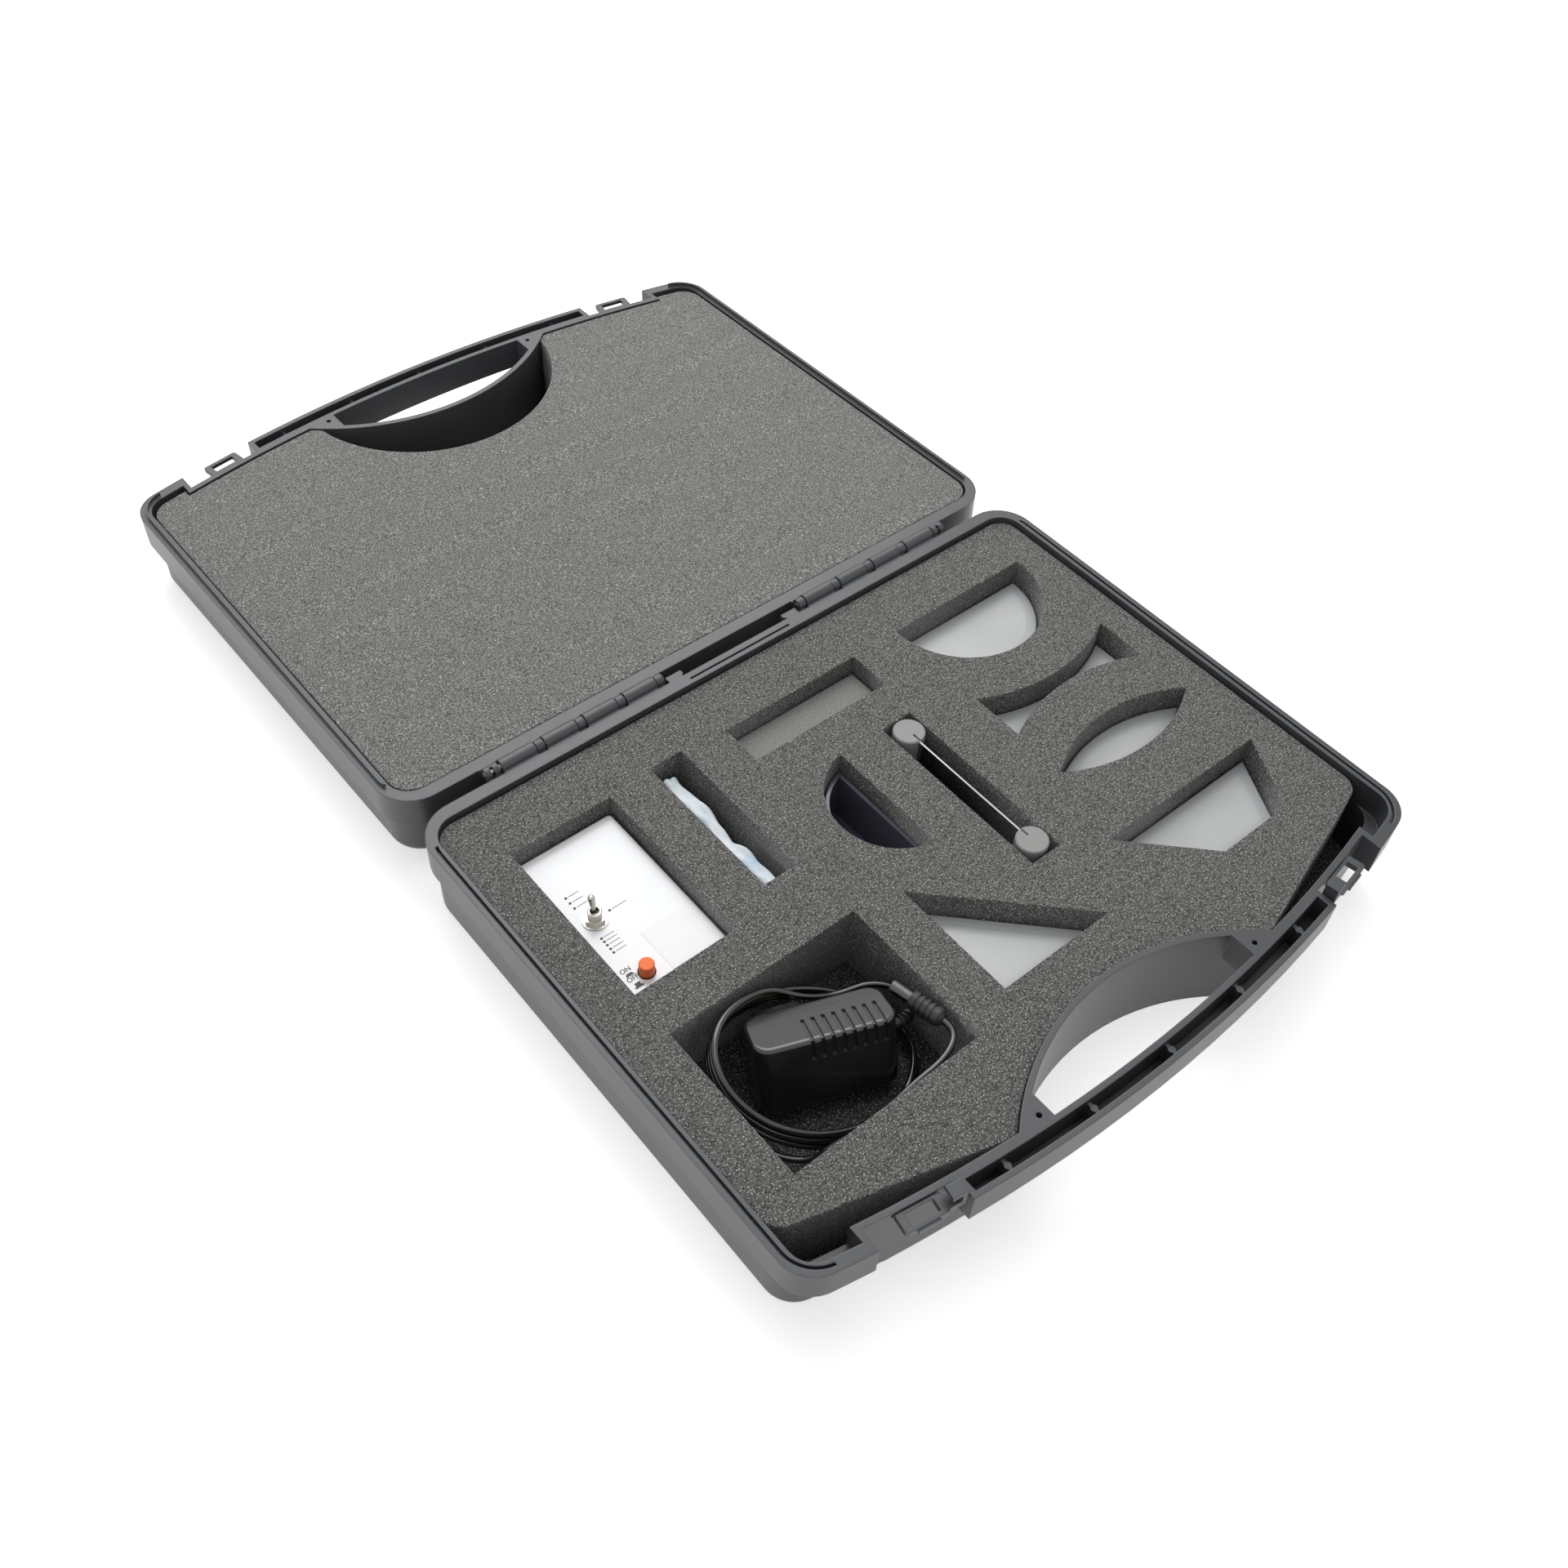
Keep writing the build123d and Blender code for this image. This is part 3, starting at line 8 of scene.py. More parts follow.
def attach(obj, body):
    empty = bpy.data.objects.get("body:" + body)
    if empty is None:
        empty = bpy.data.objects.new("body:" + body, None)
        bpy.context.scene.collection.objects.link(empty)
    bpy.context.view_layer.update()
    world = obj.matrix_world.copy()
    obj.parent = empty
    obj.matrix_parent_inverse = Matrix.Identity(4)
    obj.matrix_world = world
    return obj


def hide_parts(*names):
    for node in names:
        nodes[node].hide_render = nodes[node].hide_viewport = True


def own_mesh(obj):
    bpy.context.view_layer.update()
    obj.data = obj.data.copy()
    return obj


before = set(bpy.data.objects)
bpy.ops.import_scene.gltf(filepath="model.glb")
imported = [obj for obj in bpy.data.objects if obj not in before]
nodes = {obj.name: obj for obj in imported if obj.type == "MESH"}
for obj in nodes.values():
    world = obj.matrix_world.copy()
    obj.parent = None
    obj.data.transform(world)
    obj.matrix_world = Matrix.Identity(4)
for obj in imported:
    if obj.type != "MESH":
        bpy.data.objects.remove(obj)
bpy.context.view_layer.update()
print("frame loaded, nodes:", len(nodes))

# the case's own frame: y is 0 at the hinge and negative in front of it, z is 0 at the base's rim
caseFrame = {"hingeY": 137.75, "rimZ": 45.0, "reach": 271.5, "frontRadius": 720.0,
             "handRadius": 103.0, "handY": -333.5, "handWall": 2.7, "lidSwing": 181.588}
frontY = caseFrame["frontRadius"] - caseFrame["reach"]


def inMetres(points):
    # millimetres in the case's frame to metres in the part's frame
    points = np.asarray(points, float)
    return (points + np.array([0.0, caseFrame["hingeY"], caseFrame["rimZ"]])) * 0.001


def onLid(points):
    # a closed-lid place swung open about the hinge line
    points = np.asarray(points, float)
    angle = math.radians(-caseFrame["lidSwing"])
    turned = points.copy()
    turned[:, 1] = points[:, 1] * math.cos(angle) - points[:, 2] * math.sin(angle)
    turned[:, 2] = points[:, 1] * math.sin(angle) + points[:, 2] * math.cos(angle)
    return turned


def placePiece(name, mesh, material, body):
    piece = bpy.data.objects.new(name, mesh)
    bpy.context.scene.collection.objects.link(piece)
    mesh.materials.clear()
    mesh.materials.append(material)
    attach(piece, body)
    return piece


def meshFrom(name, points, faces):
    mesh = bpy.data.meshes.new(name)
    mesh.from_pydata([tuple(point) for point in points], [], [tuple(face) for face in faces])
    mesh.update()
    return mesh


def drawnMesh(name, curve, move):
    # a flat curve or a word made a mesh, with its points moved to their place in the case's frame
    holder = bpy.data.objects.new(name, curve)
    bpy.context.scene.collection.objects.link(holder)
    bpy.context.view_layer.update()
    seen = holder.evaluated_get(bpy.context.evaluated_depsgraph_get())
    mesh = bpy.data.meshes.new_from_object(seen)
    points = np.empty(len(mesh.vertices) * 3)
    mesh.vertices.foreach_get("co", points)
    mesh.vertices.foreach_set("co", inMetres(move(points.reshape(-1, 3))).ravel())
    bpy.data.objects.remove(holder)
    return mesh


def startMaterial(name, color, roughness):
    material = bpy.data.materials.new(name)
    material.use_nodes = True
    tree = material.node_tree
    shader = tree.nodes["Principled BSDF"]
    shader.inputs["Base Color"].default_value = (*color, 1.0)
    shader.inputs["Roughness"].default_value = roughness
    coordinates = tree.nodes.new("ShaderNodeTexCoord")
    return material, tree, shader, coordinates.outputs["Object"]


def noiseAt(tree, where, scale, detail=2.0, rough=0.5):
    noise = tree.nodes.new("ShaderNodeTexNoise")
    noise.inputs["Scale"].default_value = scale
    noise.inputs["Detail"].default_value = detail
    noise.inputs["Roughness"].default_value = rough
    tree.links.new(where, noise.inputs["Vector"])
    return noise.outputs["Fac"]


def rampBetween(tree, value, low, high, lowColor, highColor):
    ramp = tree.nodes.new("ShaderNodeValToRGB")
    ramp.color_ramp.elements[0].position = low
    ramp.color_ramp.elements[0].color = (*lowColor, 1.0)
    ramp.color_ramp.elements[1].position = high
    ramp.color_ramp.elements[1].color = (*highColor, 1.0)
    tree.links.new(value, ramp.inputs["Fac"])
    return ramp.outputs["Color"]


def mixColors(tree, share, low, high):
    # low where share is 0 and high where it is 1; either is a colour or a node's output
    mix = tree.nodes.new("ShaderNodeMix")
    mix.data_type = "RGBA"
    tree.links.new(share, mix.inputs[0])
    for socket, value in ((mix.inputs[6], low), (mix.inputs[7], high)):
        if isinstance(value, tuple):
            socket.default_value = (*value, 1.0)
        else:
            tree.links.new(value, socket)
    return mix.outputs[2]


def mathNode(tree, operation, first, second):
    node = tree.nodes.new("ShaderNodeMath")
    node.operation = operation
    for socket, value in zip(node.inputs, (first, second)):
        if isinstance(value, float):
            socket.default_value = value
        else:
            tree.links.new(value, socket)
    return node.outputs[0]


def nearEdge(tree, reach, low, high):
    # 1 where an edge is near: there the normal of a rounding of that reach leans from the face's own
    rounded = tree.nodes.new("ShaderNodeBevel")
    rounded.samples = 6
    rounded.inputs["Radius"].default_value = reach
    face = tree.nodes.new("ShaderNodeNewGeometry")
    lean = tree.nodes.new("ShaderNodeVectorMath")
    lean.operation = "DOT_PRODUCT"
    tree.links.new(rounded.outputs["Normal"], lean.inputs[0])
    tree.links.new(face.outputs["True Normal"], lean.inputs[1])
    share = tree.nodes.new("ShaderNodeMapRange")
    share.inputs["From Min"].default_value = high
    share.inputs["From Max"].default_value = low
    tree.links.new(lean.outputs["Value"], share.inputs["Value"])
    return share.outputs["Result"]


def addBump(tree, shader, height, strength, distance, edge=0.0):
    bump = tree.nodes.new("ShaderNodeBump")
    bump.inputs["Strength"].default_value = strength
    bump.inputs["Distance"].default_value = distance
    tree.links.new(height, bump.inputs["Height"])
    if edge:
        # worn, rounded edges: the normal turns over this radius
        bevel = tree.nodes.new("ShaderNodeBevel")
        bevel.samples = 4
        bevel.inputs["Radius"].default_value = edge
        tree.links.new(bevel.outputs["Normal"], bump.inputs["Normal"])
    tree.links.new(bump.outputs["Normal"], shader.inputs["Normal"])


# colours are linear; scales of noise are waves in a metre, and depths and edges are metres
# the bluish edge colour is partly wear and partly a painted highlight along the rims
casePlastic = {"color": (0.050, 0.053, 0.057), "worn": (0.072, 0.075, 0.080),
               "edgeWearAndHighlight": (0.125, 0.142, 0.160), "edgeWearAndHighlightLean": (0.80, 0.99), "broad": 22.0,
               "roughness": 0.36, "grain": 1400.0, "grainDepth": 0.00005, "edge": 0.0008}


def makeCasePlastic():
    # moulded grain: a fine noise sets the height, a broad one lightens the grey, and edges turn a bluish
    # grey that is partly wear and partly a painted highlight of light caught on the rims
    v = casePlastic
    material, tree, shader, where = startMaterial("casePlastic", v["color"], v["roughness"])
    broad = noiseAt(tree, where, v["broad"], 3.0)
    color = rampBetween(tree, broad, 0.35, 0.75, v["color"], v["worn"])
    # painted highlight with wear: a bluish grey near every edge stands in for light caught on the rims
    color = mixColors(tree, nearEdge(tree, v["edge"], *v["edgeWearAndHighlightLean"]), color, v["edgeWearAndHighlight"])
    tree.links.new(color, shader.inputs["Base Color"])
    addBump(tree, shader, noiseAt(tree, where, v["grain"], 2.0), 0.5, v["grainDepth"], v["edge"])
    return material


foamLook = {"dark": (0.050, 0.050, 0.047), "light": (0.200, 0.200, 0.191), "paintedGlint": (0.52, 0.52, 0.50),
            "grain": 1250.0, "cell": 1500.0, "paintedGlintGrain": 1500.0, "bumpDepth": 0.0005,
            "roughness": 0.95, "specular": 0.2, "sheen": 0.35, "sheenRoughness": 0.4}


def makeFoam(name, lift=1.0):
    # open cells: a fine noise sets each spot's grey, a cell pattern its height, and bright flecks of painted
    # glint lie on top; lift scales the greys, so that lit and shaded copies of the one foam are painted
    v = foamLook
    material, tree, shader, where = startMaterial(name, v["light"], v["roughness"])
    dark = tuple(c * lift for c in v["dark"])
    light = tuple(c * lift for c in v["light"])
    grain = rampBetween(tree, noiseAt(tree, where, v["grain"], 2.0, 0.6), 0.34, 0.66, dark, light)
    # painted glints: rare bright flecks of colour stand in for light caught by the cells
    paintedGlintNoise = noiseAt(tree, where, v["paintedGlintGrain"], 0.0)
    paintedGlints = rampBetween(tree, paintedGlintNoise, 0.64, 0.76, (0, 0, 0), (1, 1, 1))
    tree.links.new(mixColors(tree, paintedGlints, grain, v["paintedGlint"]), shader.inputs["Base Color"])
    shader.inputs["Specular IOR Level"].default_value = v["specular"]
    shader.inputs["Sheen Weight"].default_value = v["sheen"]
    shader.inputs["Sheen Roughness"].default_value = v["sheenRoughness"]
    cells = tree.nodes.new("ShaderNodeTexVoronoi")
    cells.inputs["Scale"].default_value = v["cell"]
    tree.links.new(where, cells.inputs["Vector"])
    addBump(tree, shader, cells.outputs["Distance"], 0.7, v["bumpDepth"])
    return material


# the wall and line colours are a painted reflection of the side walls seen through the top
acrylicLook = {"clear": (0.84, 0.855, 0.865), "wall": (0.60, 0.63, 0.66), "line": (0.33, 0.35, 0.37),
               "shade": 0.95, "through": 0.34, "index": 1.49, "wallReach": 0.009,
               "wallLean": (0.93, 0.997), "lineShare": 0.6, "cloud": 38.0, "smooth": 0.14, "hazy": 0.30,
               "ripple": 260.0, "rippleDepth": 0.00003, "edge": 0.0004}


def makeCastAcrylic():
    # cloudy cast block: a painted band along each edge stands in for the side walls seen through the top,
    # and it ends in a painted darker line; handling haze varies the colour and the gloss
    v = acrylicLook
    material, tree, shader, where = startMaterial("castAcrylic", v["clear"], v["smooth"])
    shader.inputs["IOR"].default_value = v["index"]
    shader.inputs["Transmission Weight"].default_value = v["through"]
    haze = noiseAt(tree, where, v["cloud"], 5.0, 0.65)
    shaded = tuple(c * v["shade"] for c in v["clear"])
    clear = rampBetween(tree, haze, 0.30, 0.72, shaded, v["clear"])
    # painted reflection: a band of colour near every edge stands in for the side walls seen through the top
    paintedWallBand = nearEdge(tree, v["wallReach"], *v["wallLean"])
    walls = mixColors(tree, paintedWallBand, clear, v["wall"])
    lineStart = rampBetween(tree, paintedWallBand, 0.0, 0.10, (0, 0, 0), (1, 1, 1))
    lineEnd = rampBetween(tree, paintedWallBand, 0.16, 0.34, (1, 1, 1), (0, 0, 0))
    line = mathNode(tree, "MULTIPLY", lineStart, lineEnd)
    share = mathNode(tree, "MULTIPLY", line, v["lineShare"])
    tree.links.new(mixColors(tree, share, walls, v["line"]), shader.inputs["Base Color"])
    gloss = rampBetween(tree, haze, 0.35, 0.75, (v["smooth"],) * 3, (v["hazy"],) * 3)
    tree.links.new(gloss, shader.inputs["Roughness"])
    addBump(tree, shader, noiseAt(tree, where, v["ripple"], 3.0), 0.05, v["rippleDepth"], v["edge"])
    return material


tintedLook = {"index": 1.49, "cloud": 60.0, "grain": 900.0, "grainDepth": 0.00003, "edge": 0.0004}


def makeTinted(name, color, through, smooth, hazy):
    # tinted clear plastic: cloudy noise drives how rough its surface looks
    v = tintedLook
    material, tree, shader, where = startMaterial(name, color, smooth)
    shader.inputs["Transmission Weight"].default_value = through
    shader.inputs["IOR"].default_value = v["index"]
    cloud = noiseAt(tree, where, v["cloud"], 4.0, 0.6)
    haze = rampBetween(tree, cloud, 0.3, 0.75, (smooth,) * 3, (hazy,) * 3)
    tree.links.new(haze, shader.inputs["Roughness"])
    addBump(tree, shader, noiseAt(tree, where, v["grain"], 2.0), 0.15, v["grainDepth"], v["edge"])
    return material


frostedLook = {"color": (0.24, 0.235, 0.225), "dark": (0.17, 0.167, 0.16), "light": (0.30, 0.295, 0.285),
               "roughness": 0.7, "speckle": 1300.0, "grain": 1500.0, "grainDepth": 0.0001, "edge": 0.0006}


def makeFrosted():
    # rubbed, matt slab: a fine noise speckles its grey
    v = frostedLook
    material, tree, shader, where = startMaterial("frostedSlab", v["color"], v["roughness"])
    speckle = noiseAt(tree, where, v["speckle"], 2.0, 0.6)
    tree.links.new(rampBetween(tree, speckle, 0.32, 0.70, v["dark"], v["light"]),
                   shader.inputs["Base Color"])
    addBump(tree, shader, noiseAt(tree, where, v["grain"], 2.0), 0.3, v["grainDepth"], v["edge"])
    return material


# edgeZ is just under the strip's top edge, in metres in the part's frame
mirrorLook = {"face": (0.30, 0.31, 0.32), "edge": (0.62, 0.62, 0.62), "edgeZ": 0.04187,
              "scratch": 300.0, "smooth": 0.04, "scratched": 0.16}


def makeMirrorStrip():
    # the strip's faces mirror, a little dull, and its sawn top edge is white
    v = mirrorLook
    material, tree, shader, where = startMaterial("mirrorStrip", v["face"], v["smooth"])
    height = tree.nodes.new("ShaderNodeSeparateXYZ")
    tree.links.new(where, height.inputs["Vector"])
    edge = mathNode(tree, "GREATER_THAN", height.outputs["Z"], v["edgeZ"])
    tree.links.new(mixColors(tree, edge, v["face"], v["edge"]), shader.inputs["Base Color"])
    tree.links.new(mathNode(tree, "SUBTRACT", 1.0, edge), shader.inputs["Metallic"])
    scratch = noiseAt(tree, where, v["scratch"], 4.0)
    gloss = rampBetween(tree, scratch, 0.4, 0.8, (v["smooth"],) * 3, (v["scratched"],) * 3)
    tree.links.new(gloss, shader.inputs["Roughness"])
    return material


plasticLook = {"broad": 60.0, "lift": 0.002, "coatRoughness": 0.15, "grainDepth": 0.00003}


def makePlastic(name, color, roughness, coat=0.0, edge=0.0004, mottle=0.12, grain=1100.0):
    # plain moulded plastic: faint mottling and a fine grain
    v = plasticLook
    material, tree, shader, where = startMaterial(name, color, roughness)
    light = tuple(min(1.0, c * (1 + mottle) + v["lift"]) for c in color)
    tint = rampBetween(tree, noiseAt(tree, where, v["broad"], 3.0), 0.35, 0.7, color, light)
    tree.links.new(tint, shader.inputs["Base Color"])
    shader.inputs["Coat Weight"].default_value = coat
    shader.inputs["Coat Roughness"].default_value = v["coatRoughness"]
    addBump(tree, shader, noiseAt(tree, where, grain, 2.0), 0.3, v["grainDepth"], edge)
    return material


metalLook = {"streak": 400.0, "fine": 1200.0, "fineDepth": 0.00002, "edge": 0.0002, "vary": (0.7, 1.5)}


def makeMetal(name, color, roughness):
    # turned or plated metal: fine streaks vary the roughness
    v = metalLook
    material, tree, shader, where = startMaterial(name, color, roughness)
    shader.inputs["Metallic"].default_value = 1.0
    low, high = ((roughness * share,) * 3 for share in v["vary"])
    vary = rampBetween(tree, noiseAt(tree, where, v["streak"], 3.0), 0.3, 0.7, low, high)
    tree.links.new(vary, shader.inputs["Roughness"])
    addBump(tree, shader, noiseAt(tree, where, v["fine"], 1.0), 0.15, v["fineDepth"], v["edge"])
    return material


clothLook = {"white": (0.86, 0.92, 0.96), "blue": (0.50, 0.68, 0.84), "roughness": 0.9, "sheen": 0.3,
             "broad": 60.0, "weave": 900.0, "stray": 1.5, "weaveDepth": 0.00012}


def makeCloth():
    # wiping cloth: a fine wave for the weave, and a broad noise from white to pale blue
    v = clothLook
    material, tree, shader, where = startMaterial("wipingCloth", v["white"], v["roughness"])
    color = rampBetween(tree, noiseAt(tree, where, v["broad"], 3.0, 0.6), 0.30, 0.52, v["blue"], v["white"])
    tree.links.new(color, shader.inputs["Base Color"])
    shader.inputs["Sheen Weight"].default_value = v["sheen"]
    weave = tree.nodes.new("ShaderNodeTexWave")
    weave.inputs["Scale"].default_value = v["weave"]
    weave.inputs["Distortion"].default_value = v["stray"]
    tree.links.new(where, weave.inputs["Vector"])
    addBump(tree, shader, weave.outputs["Fac"], 0.4, v["weaveDepth"])
    return material


# plastics: colour, roughness, coat, edge rounding, mottling and grain; metals: colour and roughness;
# tinted ones: colour, how much shows through, and their smoothest and haziest roughness
looks = {
    "case": makeCasePlastic(),
    "foam": makeFoam("darkFoam"),
    # the lid's foam is the same foam painted lighter: painted light where the lamps fall more strongly on
    # the lid
    "lidFoamPaintedLighter": makeFoam("lidFoamPaintedLighter", 1.42),
    # the pad's foam is the same foam painted darker: painted shade at the bottom of the pockets
    "padFoamPaintedDarker": makeFoam("padFoamPaintedDarker", 0.42),
    "acrylic": makeCastAcrylic(),
    "frosted": makeFrosted(),
    "smoked": makeTinted("smokedPlastic", (0.125, 0.118, 0.158), 0.12, 0.10, 0.22),
    "window": makeTinted("darkWindow", (0.25, 0.03, 0.03), 0.4, 0.05, 0.12),
    "post": makePlastic("postPlastic", (0.27, 0.27, 0.265), 0.5),
    "mirror": makeMirrorStrip(),
    "white": makePlastic("whiteEnamel", (0.83, 0.84, 0.86), 0.28, 0.3, 0.0005, 0.02, 700.0),
    "black": makePlastic("blackPlastic", (0.020, 0.020, 0.021), 0.45),
    "adapter": makePlastic("adapterPlastic", (0.011, 0.011, 0.012), 0.22, 0.6, 0.0006, 0.3, 1600.0),
    "vinyl": makePlastic("cordVinyl", (0.008, 0.008, 0.009), 0.14, 0.6, 0.0, 0.3, 500.0),
    "nickel": makeMetal("nickel", (0.55, 0.53, 0.49), 0.20),
    "darkNickel": makeMetal("darkNickel", (0.10, 0.10, 0.105), 0.28),
    "steel": makeMetal("pinSteel", (0.50, 0.50, 0.50), 0.3),
    "brass": makeMetal("brass", (0.78, 0.58, 0.28), 0.22),
    "label": makePlastic("blankLabel", (0.88, 0.88, 0.88), 0.35, 0.1, 0.0, 0.02, 300.0),
    "board": makePlastic("circuitBoard", (0.02, 0.13, 0.05), 0.4),
    "orange": makePlastic("orangeCap", (0.90, 0.155, 0.022), 0.5, 0.0, 0.0005, 0.06, 500.0),
    "ink": makePlastic("ink", (0.03, 0.03, 0.03), 0.5, 0.0, 0.0, 0.05, 900.0),
    "cloth": makeCloth(),
}
nodeLooks = {
    "case": ["base_shell", "lid_shell", "latch_slider_left", "latch_slider_right"],
    "steel": ["hinge_pin_left", "hinge_pin_right"],
    "acrylic": ["semicircle_block", "biconcave_block", "biconvex_block", "trapezoid_block",
                "triangle_block"],
    "frosted": ["rectangle_block"],
    "smoked": ["water_dish"],
    "window": ["beam_window"],
    "post": ["mirror_posts"],
    "mirror": ["mirror_strip"],
    "white": ["box_cover"],
    "black": ["box_base_plate", "emitter_holder", "dc_jack", "power_switch_body",
              "cord_plug_grip", "strain_relief"],
    "adapter": ["adapter_front_shell", "adapter_back_shell"],
    "nickel": ["toggle_body", "toggle_washer", "toggle_nut", "toggle_lever", "box_screws"],
    "darkNickel": ["cord_plug_barrel"],
    "brass": ["plug_blades", "laser_emitters"],
    "label": ["box_label"],
    "board": ["circuit_board", "adapter_core"],
    "orange": ["power_button_cap"],
}
for look, names in nodeLooks.items():
    for name in names:
        for materialSlot in nodes[name].material_slots:
            materialSlot.material = looks[look]
print("materials made:", len(looks))


# millimetres in the case's frame; edge is the soft rounding along every cut edge, and the lid's own
# heights are those of the shut lid
foam = {"top": -3.0, "padTop": -39.0, "padBottom": -42.0, "edge": 0.5, "side": 163.9, "backY": -11.0,
        "cornerReach": 229.0, "frontX": 76.0, "frontReach": 254.4, "corner": 9.0, "lipFit": 0.3,
        "grow": 1.2, "boxGrow": 1.5, "lidFace": 0.9, "lidShut": 4.3, "lidLayer": 12.8, "lidBack": 35.0,
        "squashAt": (0, -130),
        "lidArcRadius": 68.0, "lidArcY": -263.0, "trayCorner": 11.0, "trayFront": 13.0,
        "cornerFront": 8.7, "cornerStart": 12.5, "cornerStep": 10.0, "wideFrom": 143.8}
# each pocket's place, then its sizes: radii, lengths, widths and, for the trapezoid, its two angles
optics = {"semicircle": (107.0, -39.6, 38.5), "concave": (107.7, -105.3, 78.5, 23.5, 4.0),
          "convex": (107.3, -144.8, 80.0, 21.5), "trapezoid": (145.7, -184.3, 87.0, 31.6, 45.0, 62.0),
          "triangle": (-29.4, -207.0, 54.0), "slab": (3.7, -49.6, 71.5, 18.8),
          "dish": (1.4, -109.5, 28.6, 5.6), "box": (-119.6, -81.1, 46.0, 81.0),
          "adapter": (-98.5, -181.0, 91.0, 72.0), "mirror": (29.4, -126.0, 16.4, 92.4),
          "cloth": (-64.4, -75.0, 16.4, 76.6)}


def arcPoints(centre, radius, start, end, count=40):
    # points at even angles from start to end, in degrees
    angles = np.radians(np.linspace(start, end, count))
    return np.stack([centre[0] + radius * np.cos(angles), centre[1] + radius * np.sin(angles)], axis=1)


def rectPoints(centreX, centreY, width, length):
    x, y = width / 2, length / 2
    return np.array([(centreX - x, centreY - y), (centreX + x, centreY - y),
                     (centreX + x, centreY + y), (centreX - x, centreY + y)])


def growPolygon(points, by):
    # each side moves out by this much, and neighbours meet where their lines cross
    points = np.asarray(points, float)
    ahead = np.roll(points, -1, axis=0) - points
    ahead /= np.linalg.norm(ahead, axis=1)[:, None]
    out = np.stack([ahead[:, 1], -ahead[:, 0]], axis=1)
    before = np.roll(out, 1, axis=0)
    return points + by * (before + out) / (1 + np.sum(before * out, axis=1))[:, None]


def roundCorner(before, corner, after, radius, count=8):
    # arc of that radius tangent to both sides of a corner
    corner = np.asarray(corner, float)
    a = np.asarray(before, float) - corner
    b = np.asarray(after, float) - corner
    a /= np.linalg.norm(a)
    b /= np.linalg.norm(b)
    half = math.acos(float(np.clip(a @ b, -1, 1))) / 2
    middle = (a + b) / np.linalg.norm(a + b)
    centre = corner + middle * radius / math.sin(half)
    start = corner + a * radius / math.tan(half) - centre
    end = corner + b * radius / math.tan(half) - centre
    steps = np.linspace(0, 1, count)[:, None]
    turn = math.acos(float(np.clip(start @ end / radius**2, -1, 1)))
    return centre + (np.sin((1 - steps) * turn) * start + np.sin(steps * turn) * end) / math.sin(turn)


def pocketOutlines():
    g = foam["grow"]
    x, y, r = optics["semicircle"]
    low = math.degrees(math.asin(g / (r + g)))
    outlines = [arcPoints((x, y), r + g, low, -180 - low, 48)]
    x, y, length, end, waist = optics["concave"]
    half, end, waist = length / 2 + g, end / 2 + g, waist / 2 + g
    sag = end - waist
    r = (half**2 + sag**2) / (2 * sag)
    spread = math.degrees(math.asin(half / r))
    outlines.append(np.concatenate([arcPoints((x, y + waist + r), r, -90 - spread, -90 + spread, 24),
                                    arcPoints((x, y - waist - r), r, 90 - spread, 90 + spread, 24)]))
    x, y, length, thick = optics["convex"]
    half, sag = length / 2 + g, thick / 2 + g
    r = (half**2 + sag**2) / (2 * sag)
    spread = math.degrees(math.asin(half / r))
    outlines.append(np.concatenate([arcPoints((x, y + r - sag), r, -90 - spread, -90 + spread, 24)[:-1],
                                    arcPoints((x, y - r + sag), r, 90 - spread, 90 + spread, 24)[:-1]]))
    x, y, length, depth, leftAngle, rightAngle = optics["trapezoid"]
    left = x - length + depth / math.tan(math.radians(leftAngle))
    right = x - depth / math.tan(math.radians(rightAngle))
    outlines.append(growPolygon([(x - length, y), (left, y - depth), (right, y - depth), (x, y)], g))
    x, y, leg = optics["triangle"]
    outlines.append(growPolygon([(x, y), (x + leg, y), (x, y + leg)], g))
    x, y, r, cut = optics["dish"]
    side = g - cut
    spread = math.degrees(math.acos(side / (r + g)))
    outlines.append(arcPoints((x, y), r + g, spread, 360 - spread, 40))
    x, y, length, width = optics["slab"]
    outlines.append(rectPoints(x, y, length + 2 * g, width + 2 * g))
    x, y, width, length = optics["box"]
    outlines.append(rectPoints(x, y, width + 2 * foam["boxGrow"], length + 2 * foam["boxGrow"]))
    outlines += [rectPoints(*optics[name]) for name in ("adapter", "mirror", "cloth")]
    return outlines


def insertOutline():
    # the six-sided insert with rounded corners, and a bow cut out behind the hand hole
    v = foam
    s, f, r = v["side"], v["frontX"], v["corner"]
    corners = [(-s, v["backY"]), (-s, -v["cornerReach"]), (-f, -v["frontReach"]), (f, -v["frontReach"]),
               (s, -v["cornerReach"]), (s, v["backY"])]
    lip = caseFrame["handRadius"] + caseFrame["handWall"] + v["lipFit"]
    up = -v["frontReach"] - caseFrame["handY"]
    spread = math.degrees(math.acos(up / lip))
    bow = arcPoints((0, caseFrame["handY"]), lip, 90 + spread, 90 - spread, 48)
    backLeft, frontLeft, frontRight, backRight = (
        roundCorner(corners[at - 1], corners[at], corners[(at + 1) % 6], r) for at in (0, 1, 4, 5))
    return np.concatenate([backLeft, frontLeft, [corners[2]], bow, [corners[3]], frontRight, backRight])


